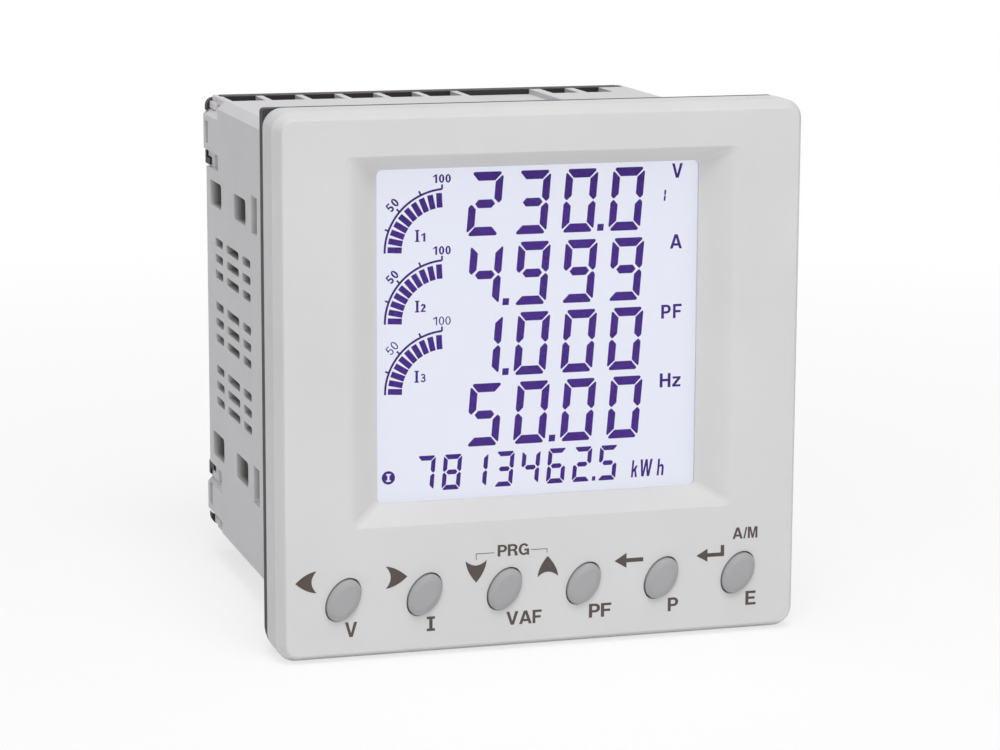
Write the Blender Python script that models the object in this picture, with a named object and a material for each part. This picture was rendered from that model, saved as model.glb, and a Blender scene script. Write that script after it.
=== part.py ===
"""Multifunction power meter for a 92 mm square panel cut-out.

X is right as seen from the front, Y is depth into the panel, Z is up. Depths are measured from the panel plane,
the rear face of the bezel, and grow to the rear. Heights are measured from the middle of the bezel. The origin is
on the bezel's lower edge, under the middle of the whole meter.
"""

import math

import bmesh
import bpy

# Front bezel
BEZEL_SIDE = 0.096
BEZEL_DEPTH = 0.010
BEZEL_CORNER = 0.0036
BEZEL_SHOULDER = 0.0073
BEZEL_INSET = 0.0013
BEZEL_SOFT_EDGE = 0.0002
BEZEL_WALL = 0.0022
SKIRT_WALL = 0.0020

# Display recess and window opening
RECESS_SIDE_MARGIN = 0.0130
RECESS_TOP_MARGIN = 0.0079
RECESS_BOTTOM_MARGIN = 0.0235
RECESS_WIDTH = BEZEL_SIDE - 2 * RECESS_SIDE_MARGIN
RECESS_HEIGHT = BEZEL_SIDE - RECESS_TOP_MARGIN - RECESS_BOTTOM_MARGIN
RECESS_MIDDLE = (RECESS_BOTTOM_MARGIN - RECESS_TOP_MARGIN) / 2
RECESS_FALL = 0.0039
RECESS_SLOPE = 0.00565
RECESS_WALL = 0.0018
OPENING_SIDE = RECESS_WIDTH - 2 * RECESS_SLOPE
OPENING_CORNER = 0.0010
LIP = 0.0006

# Display stack, from front to rear
WINDOW_BORDER = 0.0017
WINDOW_THICK = 0.0010
GLASS_BORDER = 0.0016
GLASS_LEDGE = 0.0005
GLASS_THICK = 0.0018
GUIDE_THICK = 0.0024
FRAME_WALL = 0.0010
ZEBRA_WIDTH = 0.0020
ZEBRA_LENGTH = OPENING_SIDE - ZEBRA_WIDTH

# Case
CASE_INSET = 0.0050
CASE_SIDE = BEZEL_SIDE - 2 * CASE_INSET
CASE_WALL = 0.0022
CASE_CHAMFER = 0.0016
CASE_TOP_DEPTH = 0.070
SIDE_BEYOND = 0.0040
POST_BEYOND = 0.0065
CASE_SIDE_DEPTH = CASE_TOP_DEPTH + SIDE_BEYOND
CASE_POST_DEPTH = CASE_TOP_DEPTH + POST_BEYOND
HALF_CASE = CASE_SIDE / 2
CASE_INSIDE = HALF_CASE - CASE_WALL
CASE_FLANGE_THICK = 0.0020
REST_SIDE = 0.0040
REST_LENGTH = 0.0090

# Keys and switches
KEY_COUNT = 6
KEY_MARGIN = 0.0112
KEY_MIDDLE = KEY_MARGIN - BEZEL_SIDE / 2
KEY_LONG = 0.0084
KEY_SHORT = 0.0054
KEY_TILT = math.radians(31)
KEY_CLEARANCE = 0.00025
KEY_RIM = 0.0005
KEY_DOME = 0.0007
KEY_FLANGE = 0.0010
KEY_FLANGE_THICK = 0.0008
KEY_STEM_RADIUS = 0.0012
SWITCH_SIDE = 0.0060
SWITCH_MARGIN = 0.0013
KEY_PITCH = 2 * (CASE_INSIDE - SWITCH_SIDE / 2 - SWITCH_MARGIN) / (KEY_COUNT - 1)
SWITCH_THICK = 0.0034
SWITCH_FLOOR = 0.0010
PLUNGER_RADIUS = 0.0015
PLUNGER_PROUD = 0.0010
PLUNGER_LENGTH = 0.0024
PLUNGER_CLEARANCE = 0.00015

# Panel gasket
GASKET_THICK = 0.0024
GASKET_MARGIN = 0.0002
GASKET_UPPER_CORNER = 0.0006

# Snap arms of the bezel and their slots in the case
ARM_MIDDLE = HALF_CASE * 0.586
ARM_HEIGHT = 0.0064
ARM_THICK = 0.0016
HOOK_START = CASE_TOP_DEPTH * 0.404
HOOK_LENGTH = 0.0044
HOOK_REACH = 0.0018

# Holes in the sides of the case
CLAMP_LENGTH = 0.0105
CLAMP_HEIGHT = 0.0048
CLAMP_CORNER = 0.0008
CLAMP_MIDDLE = HALF_CASE * 0.5744
CLAMP_DEPTHS = (CASE_TOP_DEPTH * 0.6157, CASE_TOP_DEPTH * 0.9314)
VENT_HEIGHT = 0.0016
VENT_CORNER = 0.0006
VENT_ROW_PITCH = HALF_CASE * 0.0728
VENT_GROUP_PITCH = HALF_CASE * 0.2895
VENT_SHARES = ((0.487, 0.589), (0.636, 0.796), (0.843, 0.947))
VENT_COLUMNS = [(CASE_TOP_DEPTH * start, CASE_TOP_DEPTH * end) for start, end in VENT_SHARES]
NOTCH_MIDDLE = HALF_CASE * 0.7186
NOTCH_HEIGHT = 0.0032
STEP_START = CASE_TOP_DEPTH * 0.897
NOTCH_START = STEP_START
NOTCH_SINK = 0.0012
STEP_HEIGHT = 0.0024
STEP_WIDTH = 0.0014
POST_CHAMFER = 0.0014
POST_SLOT_MIDDLE = HALF_CASE * 0.835
POST_SLOT_HEIGHT = 0.0043
POST_SLOT_LENGTH = 0.0028
POST_SLOT_START = CASE_POST_DEPTH - POST_SLOT_LENGTH - 0.0015
POST_SLOT_SINK = 0.0010

# Terminal pockets along the top and the bottom
POCKET_LENGTH = 0.0090
POCKET_SINK = 0.0090
POCKET_FLOOR = 0.0015
WIDE_POCKETS = 6
WIDE_POCKET_START = -CASE_INSIDE + 0.0004
WIDE_POCKET_PITCH = CASE_INSIDE * 0.1912
WIDE_DIVIDER = 0.0014
WIDE_POCKET_WIDTH = WIDE_POCKET_PITCH - WIDE_DIVIDER
NARROW_POCKETS = 2
NARROW_POCKET_START = CASE_INSIDE * 0.5735
NARROW_POCKET_PITCH = CASE_INSIDE * 0.1728
NARROW_DIVIDER = 0.00185
NARROW_POCKET_WIDTH = NARROW_POCKET_PITCH - NARROW_DIVIDER
BAY_START = WIDE_POCKET_START + WIDE_POCKETS * WIDE_POCKET_PITCH
BAY_DIVIDER = 0.0022
BAY_WIDTH = NARROW_POCKET_START - BAY_DIVIDER - BAY_START
BAY_LENGTH = CASE_TOP_DEPTH * 0.5714
BAY_SINK = 0.0010

# Terminals and the dark blocks behind the pockets
TERMINAL_SINK = 0.0050
BLOCK_THICK = 0.0039
SCREW_RADIUS = 0.0012
HEAD_RADIUS = 0.0020
HEAD_THICK = 0.0020
HEAD_CLEARANCE = 0.0004
WASHER_RADIUS = NARROW_POCKET_WIDTH / 2 - 0.0003
WASHER_THICK = 0.0012
WASHER_DEPTH = CASE_TOP_DEPTH - 0.0035
TAIL_HOLE = 0.0030
COVER_THICK = 0.0020
COVER_CORNER = 0.0016
LATCH_LENGTH = 0.0045
LATCH_FOOT = 0.0013
LATCH_STRIP = 0.0015

# Boards and what stands on them
BOARD_THICK = 0.0016
BOARD_MARGIN = 0.0005
DISPLAY_BOARD_WIDTH = 2 * (CASE_INSIDE - ARM_THICK - 2 * BOARD_MARGIN)
DISPLAY_BOARD_HEIGHT = 2 * (CASE_INSIDE - BOARD_MARGIN)
MEASURING_BOARD_WIDTH = CASE_SIDE - 0.0130
MEASURING_BOARD_HEIGHT = CASE_SIDE - 0.0090
POWER_BOARD_WIDTH = CASE_SIDE - 0.0180
POWER_BOARD_MIDDLE = CASE_INSIDE * -0.49
HEADER_WIDTH = 0.0280
HEADER_HEIGHT = 0.0046
HEADER_LENGTH = 0.0049
BOSS_RADIUS = 0.0018
BOSS_UPPER = (CASE_INSIDE - 0.0040, CASE_INSIDE - 0.0028)
BOSS_LOWER = (KEY_PITCH * 2, KEY_MIDDLE - 0.0012)
CT_RADIUS = 0.0085
CT_BORE = 0.0032
CT_LENGTH = 0.0110
CT_PITCH = CASE_INSIDE * 0.5515
CT_MIDDLE = CASE_INSIDE * 0.4412
CORE_SIZE = (0.0240, 0.0140, 0.0200)
COIL_SIZE = (0.0150, 0.0220, 0.0140)
TRANSFORMER_PLACE = (POWER_BOARD_WIDTH * -0.25, CASE_TOP_DEPTH * 0.4286)
CAPACITOR_RADIUS = 0.0062
CAPACITOR_HEIGHT = 0.0200
CAPACITOR_PLACE = (POWER_BOARD_WIDTH * 0.1765, CASE_TOP_DEPTH * 0.4286)

# Fits
FIT = 0.0003
BEYOND = 0.0010

# Derived places
HALF_BEZEL = BEZEL_SIDE / 2
FACE = -BEZEL_DEPTH
WALL_REAR = FACE + BEZEL_WALL
OPENING_DEPTH = FACE + RECESS_FALL
LIP_REAR = OPENING_DEPTH + LIP
WINDOW_FRONT = LIP_REAR + FIT
GLASS_FRONT = WINDOW_FRONT + WINDOW_THICK + FIT
GUIDE_FRONT = GLASS_FRONT + GLASS_THICK + FIT
GUIDE_REAR = GUIDE_FRONT + GUIDE_THICK
DISPLAY_BOARD_FRONT = GUIDE_REAR + FIT
DISPLAY_BOARD_REAR = DISPLAY_BOARD_FRONT + BOARD_THICK
HALF_OPENING = OPENING_SIDE / 2
HALF_WINDOW = HALF_OPENING + WINDOW_BORDER
HALF_GLASS_WIDTH = HALF_OPENING + GLASS_BORDER
HALF_GLASS_HEIGHT = HALF_GLASS_WIDTH + GLASS_LEDGE
HALF_GUIDE_HEIGHT = HALF_GLASS_HEIGHT - ZEBRA_WIDTH - 2 * FIT
KEY_TOP = FACE - KEY_RIM - KEY_DOME
FLANGE_FRONT = WALL_REAR + FIT
FLANGE_REAR = FLANGE_FRONT + KEY_FLANGE_THICK
SWITCH_REAR = DISPLAY_BOARD_FRONT - FIT
SWITCH_FRONT = SWITCH_REAR - SWITCH_THICK
PLUNGER_FRONT = SWITCH_FRONT - PLUNGER_PROUD
STEM_REAR = PLUNGER_FRONT - FIT
CASE_FRONT = -CASE_FLANGE_THICK
POCKET_FRONT = CASE_TOP_DEPTH - POCKET_LENGTH
SHELF_FRONT = POCKET_FRONT - POCKET_FLOOR
SHELF_UNDER = HALF_CASE - POCKET_SINK - POCKET_FLOOR
MEASURING_BOARD_REAR = SHELF_FRONT - FIT
MEASURING_BOARD_FRONT = MEASURING_BOARD_REAR - BOARD_THICK
HEADER_REAR_END = MEASURING_BOARD_FRONT - FIT
BLOCK_FRONT = CASE_TOP_DEPTH + FIT
BLOCK_REAR = BLOCK_FRONT + BLOCK_THICK
COVER_REAR = CASE_POST_DEPTH
COVER_FRONT = COVER_REAR - COVER_THICK
HEAD_FRONT = BLOCK_FRONT + BLOCK_THICK / 3 + FIT
TERMINAL_HEIGHT = HALF_CASE - TERMINAL_SINK
STEP_BOTTOM = HALF_CASE - STEP_HEIGHT
NOTCH_BOTTOM = NOTCH_MIDDLE - NOTCH_HEIGHT / 2
NOTCH_TOP = NOTCH_MIDDLE + NOTCH_HEIGHT / 2
BLOCK_INSIDE = SHELF_UNDER + 2 * FIT
HALF_BLOCK = CASE_INSIDE - FIT
PANEL_Y = -(COVER_REAR + KEY_TOP) / 2
MIDDLE_Z = HALF_BEZEL

parts = None
cutters = None


def clear_scene():
    """Empties the scene and makes the two collections."""
    global parts, cutters
    for old in list(bpy.data.objects):
        bpy.data.objects.remove(old, do_unlink=True)
    parts = bpy.data.collections.new("power_meter")
    cutters = bpy.data.collections.new("cutters")
    for group in (parts, cutters):
        bpy.context.scene.collection.children.link(group)


def material(name, colour, roughness, metallic=0.0, alpha=1.0):
    made = bpy.data.materials.new(name)
    made.use_nodes = True
    shader = made.node_tree.nodes["Principled BSDF"]
    shader.inputs["Base Color"].default_value = (*colour, 1.0)
    shader.inputs["Roughness"].default_value = roughness
    shader.inputs["Metallic"].default_value = metallic
    shader.inputs["Alpha"].default_value = alpha
    return made


def make_materials():
    return {
        "housing": material("housing_plastic", (0.62, 0.62, 0.62), 0.5),
        "case": material("case_plastic", (0.45, 0.45, 0.46), 0.55),
        "key": material("key_plastic", (0.35, 0.34, 0.37), 0.4),
        "dark": material("dark_plastic", (0.035, 0.03, 0.033), 0.5),
        "gasket": material("gasket_rubber", (0.05, 0.045, 0.055), 0.8),
        "clear": material("clear_acrylic", (0.95, 0.95, 0.98), 0.1, 0.0, 0.3),
        "lcd": material("display_glass", (0.78, 0.80, 0.90), 0.15),
        "guide": material("light_guide", (0.9, 0.9, 0.9), 0.3),
        "board": material("circuit_board", (0.02, 0.14, 0.06), 0.45),
        "zebra": material("zebra_rubber", (0.1, 0.1, 0.1), 0.8),
        "metal": material("terminal_steel", (0.6, 0.58, 0.55), 0.35, 1.0),
        "switch": material("switch_plastic", (0.04, 0.04, 0.04), 0.5),
        "potting": material("potted_coil", (0.03, 0.05, 0.2), 0.4),
        "sleeve": material("capacitor_sleeve", (0.03, 0.03, 0.1), 0.35),
    }


def link(mesh, name, group, finish):
    made = bpy.data.objects.new(name, mesh)
    group.objects.link(made)
    if group is cutters:
        made.hide_render = True
        made.display_type = "WIRE"
    if finish:
        mesh.materials.append(finish)
    return made


def finish_mesh(bm, name, group, finish, smooth=False):
    bmesh.ops.recalc_face_normals(bm, faces=bm.faces)
    mesh = bpy.data.meshes.new(name)
    bm.to_mesh(mesh)
    bm.free()
    if smooth:
        mesh.shade_smooth()
        mesh.set_sharp_from_angle(angle=math.radians(40))
    return link(mesh, name, group, finish)


def add_box(bm, x, depth, height):
    """Adds a box between two values on each axis, in the meter's own depth and height."""
    made = bmesh.ops.create_cube(bm, size=1.0)["verts"]
    lows = (x[0], PANEL_Y + depth[0], MIDDLE_Z + height[0])
    highs = (x[1], PANEL_Y + depth[1], MIDDLE_Z + height[1])
    bmesh.ops.scale(bm, vec=[high - low for low, high in zip(lows, highs)], verts=made)
    bmesh.ops.translate(bm, vec=[(low + high) / 2 for low, high in zip(lows, highs)], verts=made)
    return made


def round_along(bm, verts, axis, radius, segments):
    """Rounds the edges of a box that run along one axis."""
    edges = {edge for vert in verts for edge in vert.link_edges}
    along = [edge for edge in edges if abs((edge.verts[0].co - edge.verts[1].co).normalized()[axis]) > 0.99]
    bmesh.ops.bevel(bm, geom=along, offset=radius, segments=segments, profile=0.5, affect="EDGES")


def boxes(name, spans, group=None, finish=None, rounded=None):
    """One object of boxes that don't meet. rounded is (axis, radius, segments)."""
    bm = bmesh.new()
    for span in spans:
        made = add_box(bm, *span)
        if rounded:
            round_along(bm, made, *rounded)
    made = finish_mesh(bm, name, group or cutters, finish)
    middle = sum((vert.co for vert in made.data.vertices), made.location.copy()) / len(made.data.vertices)
    for vert in made.data.vertices:
        vert.co -= middle
    made.location = middle
    return made


def outline(width, height, segments, corner):
    """Points of an ellipse with these half sizes, or of a rectangle whose corners have the radius that is given."""
    points = []
    if corner is None:
        for step in range(segments):
            angle = 2 * math.pi * step / segments
            points.append((width * math.cos(angle), height * math.sin(angle)))
        return points
    for quarter, (x, z) in enumerate(((1, 1), (-1, 1), (-1, -1), (1, -1))):
        for step in range(segments + 1):
            angle = (quarter + step / segments) * math.pi / 2
            across = x * (width - corner) + corner * math.cos(angle)
            up = z * (height - corner) + corner * math.sin(angle)
            points.append((across, up))
    return points


def skin(bm, loops):
    """Closes a surface through loops of points that follow each other."""
    loops = [[bm.verts.new(point) for point in loop] for loop in loops]
    for first, second in zip(loops, loops[1:]):
        for index in range(len(first)):
            bm.faces.new((first[index - 1], first[index], second[index], second[index - 1]))
    bm.faces.new(loops[0])
    bm.faces.new(loops[-1])


def prism(name, points, depth):
    """A cutter with this outline of (x, height) points between two depths."""
    bm = bmesh.new()
    skin(bm, [[(x, PANEL_Y + y, MIDDLE_Z + z) for x, z in points] for y in depth])
    return finish_mesh(bm, name, cutters, None)


def lofted(name, rings, place, group=None, finish=None, segments=24, corner=None, tilt=0.0, upright=False):
    """A solid through rings of (depth, half width, half height), round or with the corner radius that is given."""
    bm = bmesh.new()
    loops = []
    for depth, width, height, *own_corner in rings:
        radius = own_corner[0] if own_corner else corner
        loops.append([(x, z, depth) for x, z in outline(width, height, segments, radius)])
    skin(bm, loops)
    made = finish_mesh(bm, name, group or cutters, finish, smooth=corner is None)
    if upright:
        made.location = (place[0], PANEL_Y + place[1], MIDDLE_Z)
    else:
        made.location = (place[0], PANEL_Y, MIDDLE_Z + place[1])
        made.rotation_euler = (-math.pi / 2, tilt, 0)
    return made


def combine(target, tool, operation):
    step = target.modifiers.new(f"{operation.lower()}_{tool.name}", "BOOLEAN")
    step.operation = operation
    step.object = tool


def cut(target, tool):
    combine(target, tool, "DIFFERENCE")


def join(target, tool):
    combine(target, tool, "UNION")


def both(low, high):
    """The same stretch on either side of the middle."""
    return ((low, high), (-high, -low))


def key_places():
    return [((index - (KEY_COUNT - 1) / 2) * KEY_PITCH, KEY_MIDDLE) for index in range(KEY_COUNT)]


def pocket_spans():
    """Left and right side of every terminal pocket."""
    wide = [WIDE_POCKET_START + index * WIDE_POCKET_PITCH for index in range(WIDE_POCKETS)]
    narrow = [NARROW_POCKET_START + index * NARROW_POCKET_PITCH for index in range(NARROW_POCKETS)]
    return [(x, x + WIDE_POCKET_WIDTH) for x in wide] + [(x, x + NARROW_POCKET_WIDTH) for x in narrow]


def terminal_xs():
    return [(low + high) / 2 for low, high in pocket_spans()]


def make_bezel(finish):
    soft = BEZEL_SOFT_EDGE
    profile = [
        (0.0, 0.0),
        (-BEZEL_SHOULDER + soft, 0.0),
        (-BEZEL_SHOULDER - soft, soft / 2),
        (FACE + soft, BEZEL_INSET - soft / 2),
        (FACE, BEZEL_INSET + soft),
    ]
    rings = [(depth, HALF_BEZEL - inset, HALF_BEZEL - inset, BEZEL_CORNER - inset) for depth, inset in profile]
    bezel = lofted("front_bezel", rings, (0, 0), parts, finish, 6, BEZEL_CORNER)
    inside = HALF_BEZEL - SKIRT_WALL
    hollow = [(BEYOND, inside, inside), (WALL_REAR, inside, inside)]
    cut(bezel, lofted("bezel_hollow", hollow, (0, 0), segments=4, corner=BEZEL_CORNER - SKIRT_WALL))

    half_width, half_height = RECESS_WIDTH / 2, RECESS_HEIGHT / 2
    slope_x = (half_width - HALF_OPENING) / RECESS_FALL
    slope_z = (half_height - HALF_OPENING) / RECESS_FALL
    pan_front = (FACE + WALL_REAR) / 2
    pan_rise = OPENING_DEPTH - pan_front
    pan_rear = HALF_OPENING + RECESS_WALL
    pan = [
        (pan_front, pan_rear + slope_x * pan_rise, pan_rear + slope_z * pan_rise),
        (LIP_REAR, pan_rear, pan_rear),
    ]
    join(bezel, lofted("recess_pan", pan, (0, RECESS_MIDDLE), segments=2, corner=OPENING_CORNER))
    recess = [
        (FACE - BEYOND, half_width + slope_x * BEYOND, half_height + slope_z * BEYOND),
        (OPENING_DEPTH, HALF_OPENING, HALF_OPENING),
        (LIP_REAR + BEYOND, HALF_OPENING, HALF_OPENING),
    ]

    arm_x = CASE_INSIDE - FIT
    arm_end = HOOK_START + HOOK_LENGTH
    heights = both(ARM_MIDDLE - ARM_HEIGHT / 2, ARM_MIDDLE + ARM_HEIGHT / 2)
    arms = [(side, (pan_front, arm_end), height) for side in both(arm_x - ARM_THICK, arm_x) for height in heights]
    join(bezel, boxes("snap_arms", arms))
    hooked = both(arm_x - ARM_THICK / 2, arm_x + HOOK_REACH)
    hooks = [(side, (HOOK_START, arm_end - FIT), height) for side in hooked for height in heights]
    join(bezel, boxes("snap_hooks", hooks))
    for number, (x, z) in enumerate((BOSS_UPPER, BOSS_LOWER)):
        for side in (-1, 1):
            boss = [(pan_front, BOSS_RADIUS, BOSS_RADIUS), (DISPLAY_BOARD_FRONT - FIT, BOSS_RADIUS, BOSS_RADIUS)]
            join(bezel, lofted(f"boss_{number}_{side}", boss, (side * x, z), segments=10))

    cut(bezel, lofted("recess", recess, (0, RECESS_MIDDLE), segments=2, corner=OPENING_CORNER))
    short = KEY_SHORT / 2 + KEY_CLEARANCE
    long = KEY_LONG / 2 + KEY_CLEARANCE
    for number, place in enumerate(key_places(), 1):
        hole = [(FACE - BEYOND, short, long), (WALL_REAR + BEYOND, short, long)]
        cut(bezel, lofted(f"key_hole_{number}", hole, place, segments=20, tilt=KEY_TILT))


def make_display(finishes):
    height = RECESS_MIDDLE

    def slab(name, front, thick, half_width, half_height, finish):
        span = ((-half_width, half_width), (front, front + thick), (height - half_height, height + half_height))
        return boxes(name, [span], parts, finish)

    window = [(WINDOW_FRONT, HALF_WINDOW, HALF_WINDOW), (WINDOW_FRONT + WINDOW_THICK, HALF_WINDOW, HALF_WINDOW)]
    lofted("display_window", window, (0, height), parts, finishes["clear"], 2, OPENING_CORNER)
    slab("lcd_glass", GLASS_FRONT, GLASS_THICK, HALF_GLASS_WIDTH, HALF_GLASS_HEIGHT, finishes["lcd"])
    slab("lcd_light_guide", GUIDE_FRONT, GUIDE_THICK, HALF_GLASS_WIDTH, HALF_GUIDE_HEIGHT, finishes["guide"])
    inner_width = HALF_GLASS_WIDTH + FIT
    inner_height = HALF_GLASS_HEIGHT + FIT
    thick = GUIDE_REAR - GLASS_FRONT
    outer_width = inner_width + FRAME_WALL
    frame = slab("lcd_frame", GLASS_FRONT, thick, outer_width, inner_height + FRAME_WALL, finishes["guide"])
    middle = (
        (-inner_width, inner_width),
        (GLASS_FRONT - BEYOND, GUIDE_REAR + BEYOND),
        (height - inner_height, height + inner_height),
    )
    cut(frame, boxes("frame_hollow", [middle]))
    for name, side in (("upper", 1), ("lower", -1)):
        strip = sorted((height + side * (HALF_GLASS_HEIGHT - ZEBRA_WIDTH), height + side * HALF_GLASS_HEIGHT))
        span = ((-ZEBRA_LENGTH / 2, ZEBRA_LENGTH / 2), (GUIDE_FRONT, GUIDE_REAR), strip)
        boxes(f"zebra_strip_{name}", [span], parts, finishes["zebra"])


def make_keys(finishes):
    short, long = KEY_SHORT / 2, KEY_LONG / 2
    rim = FACE - KEY_RIM
    rings = [
        (STEM_REAR, KEY_STEM_RADIUS, KEY_STEM_RADIUS),
        (FLANGE_REAR, KEY_STEM_RADIUS, KEY_STEM_RADIUS),
        (FLANGE_REAR, short + KEY_FLANGE, long + KEY_FLANGE),
        (FLANGE_FRONT, short + KEY_FLANGE, long + KEY_FLANGE),
        (FLANGE_FRONT, short, long),
        (rim, short, long),
        (rim - KEY_DOME * 0.45, short * 0.92, long * 0.94),
        (rim - KEY_DOME * 0.85, short * 0.65, long * 0.68),
        (KEY_TOP, short * 0.22, long * 0.25),
    ]
    names = ("volts", "amps", "vaf", "factor", "power", "energy")
    plunger = [
        (PLUNGER_FRONT + PLUNGER_LENGTH, PLUNGER_RADIUS, PLUNGER_RADIUS),
        (PLUNGER_FRONT, PLUNGER_RADIUS, PLUNGER_RADIUS),
    ]
    bore_radius = PLUNGER_RADIUS + PLUNGER_CLEARANCE
    bore = [(SWITCH_FRONT - BEYOND, bore_radius, bore_radius), (SWITCH_REAR - SWITCH_FLOOR, bore_radius, bore_radius)]
    for number, (place, name) in enumerate(zip(key_places(), names), 1):
        lofted(f"key_{name}", rings, place, parts, finishes["key"], 20, tilt=KEY_TILT)
        lofted(f"switch_plunger_{number}", plunger, place, parts, finishes["zebra"], 12)
        x, z = place
        half = SWITCH_SIDE / 2
        span = ((x - half, x + half), (SWITCH_FRONT, SWITCH_REAR), (z - half, z + half))
        body = boxes(f"switch_body_{number}", [span], parts, finishes["switch"])
        cut(body, lofted(f"switch_bore_{number}", bore, place, segments=12))


def make_gasket(finish):
    outer = HALF_BEZEL - GASKET_MARGIN
    inner = HALF_CASE + FIT
    depth = (FIT, FIT + GASKET_THICK)
    gasket = boxes("panel_gasket", [((-outer, outer), depth, (-outer, outer))], parts, finish)
    mesh = bmesh.new()
    mesh.from_mesh(gasket.data)
    for upper, radius, segments in ((True, GASKET_UPPER_CORNER, 2), (False, BEZEL_CORNER, 5)):
        edges = [
            edge
            for edge in mesh.edges
            if abs((edge.verts[0].co - edge.verts[1].co).normalized().y) > 0.99
            and (edge.verts[0].co.z > 0) == upper
        ]
        bmesh.ops.bevel(mesh, geom=edges, offset=radius, segments=segments, profile=0.5, affect="EDGES")
    mesh.to_mesh(gasket.data)
    mesh.free()
    hole = ((-inner, inner), (FIT - BEYOND, FIT + GASKET_THICK + BEYOND), (-inner, inner))
    cut(gasket, boxes("gasket_hole", [hole]))


def case_cutters():
    """Every cut of the case, as lists of boxes that don't meet each other, with the rounding of their edges."""
    inside, far = CASE_INSIDE, CASE_POST_DEPTH + BEYOND
    outside = HALF_CASE + BEYOND
    through = both(inside - BEYOND, outside)
    snap = both(ARM_MIDDLE - ARM_HEIGHT / 2 - FIT, ARM_MIDDLE + ARM_HEIGHT / 2 + FIT)
    clamp = both(CLAMP_MIDDLE - CLAMP_HEIGHT / 2, CLAMP_MIDDLE + CLAMP_HEIGHT / 2)
    notch = both(NOTCH_BOTTOM, NOTCH_TOP)
    foot = both(NOTCH_BOTTOM, NOTCH_BOTTOM + LATCH_FOOT + 2 * FIT)
    slot = both(POST_SLOT_MIDDLE - POST_SLOT_HEIGHT / 2, POST_SLOT_MIDDLE + POST_SLOT_HEIGHT / 2)
    vents = [
        (side, column, (middle - VENT_HEIGHT / 2, middle + VENT_HEIGHT / 2))
        for side in through
        for column in VENT_COLUMNS
        for middle in (
            group * VENT_GROUP_PITCH + row * VENT_ROW_PITCH for group in (-1, 0, 1) for row in (-1, 0, 1)
        )
    ]
    clamps = [
        (side, (depth - CLAMP_LENGTH / 2, depth + CLAMP_LENGTH / 2), height)
        for side in through
        for depth in CLAMP_DEPTHS
        for height in clamp
    ]
    pockets = []
    tails = []
    bays = []
    for row in (1, -1):
        sink = sorted((row * (HALF_CASE - POCKET_SINK), row * outside))
        middle = row * TERMINAL_HEIGHT
        for low, high in pocket_spans():
            x = (low + high) / 2
            pockets.append(((low, high), (POCKET_FRONT, CASE_TOP_DEPTH + BEYOND), sink))
            hole = (x - TAIL_HOLE / 2, x + TAIL_HOLE / 2)
            tails.append((hole, (SHELF_FRONT - BEYOND, POCKET_FRONT + BEYOND), (middle - TAIL_HOLE / 2, middle + TAIL_HOLE / 2)))
        floor = sorted((row * (HALF_CASE - BAY_SINK), row * outside))
        bays.append(((BAY_START, BAY_START + BAY_WIDTH), (CASE_TOP_DEPTH - BAY_LENGTH, CASE_TOP_DEPTH + BEYOND), floor))
    return {
        "front_room": ([((-inside, inside), (CASE_FRONT - BEYOND, SHELF_FRONT), (-inside, inside))], None),
        "rear_room": ([((-inside, inside), (SHELF_FRONT - BEYOND, far), (-SHELF_UNDER, SHELF_UNDER))], None),
        "rear_mouth": ([((-inside, inside), (CASE_TOP_DEPTH, far), (-outside, outside))], None),
        "side_ends": ([(side, (CASE_SIDE_DEPTH, far), (-NOTCH_TOP, NOTCH_TOP)) for side in through], None),
        "side_notches": (
            [(side, (NOTCH_START, far), height) for side in both(HALF_CASE - NOTCH_SINK, outside) for height in notch],
            None,
        ),
        "latch_slots": (
            [(side, (COVER_REAR - LATCH_LENGTH - FIT, far), height) for side in through for height in foot],
            None,
        ),
        "corner_steps": (
            [
                (side, (STEP_START, far), height)
                for side in both(HALF_CASE - STEP_WIDTH, outside)
                for height in both(STEP_BOTTOM, outside)
            ],
            None,
        ),
        "corner_ends": (
            [(side, (COVER_FRONT - FIT, far), height) for side in through for height in both(STEP_BOTTOM, outside)],
            None,
        ),
        "post_slots": (
            [
                (side, (POST_SLOT_START, POST_SLOT_START + POST_SLOT_LENGTH), height)
                for side in both(HALF_CASE - POST_SLOT_SINK, outside)
                for height in slot
            ],
            None,
        ),
        "snap_slots": (
            [(side, (HOOK_START - FIT, HOOK_START + HOOK_LENGTH + FIT), height) for side in through for height in snap],
            None,
        ),
        "clamp_holes": (clamps, (0, CLAMP_CORNER, 2)),
        "vents": (vents, (0, VENT_CORNER, 2)),
        "pockets": (pockets, None),
        "tail_holes": (tails, None),
        "bays": (bays, None),
    }


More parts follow.
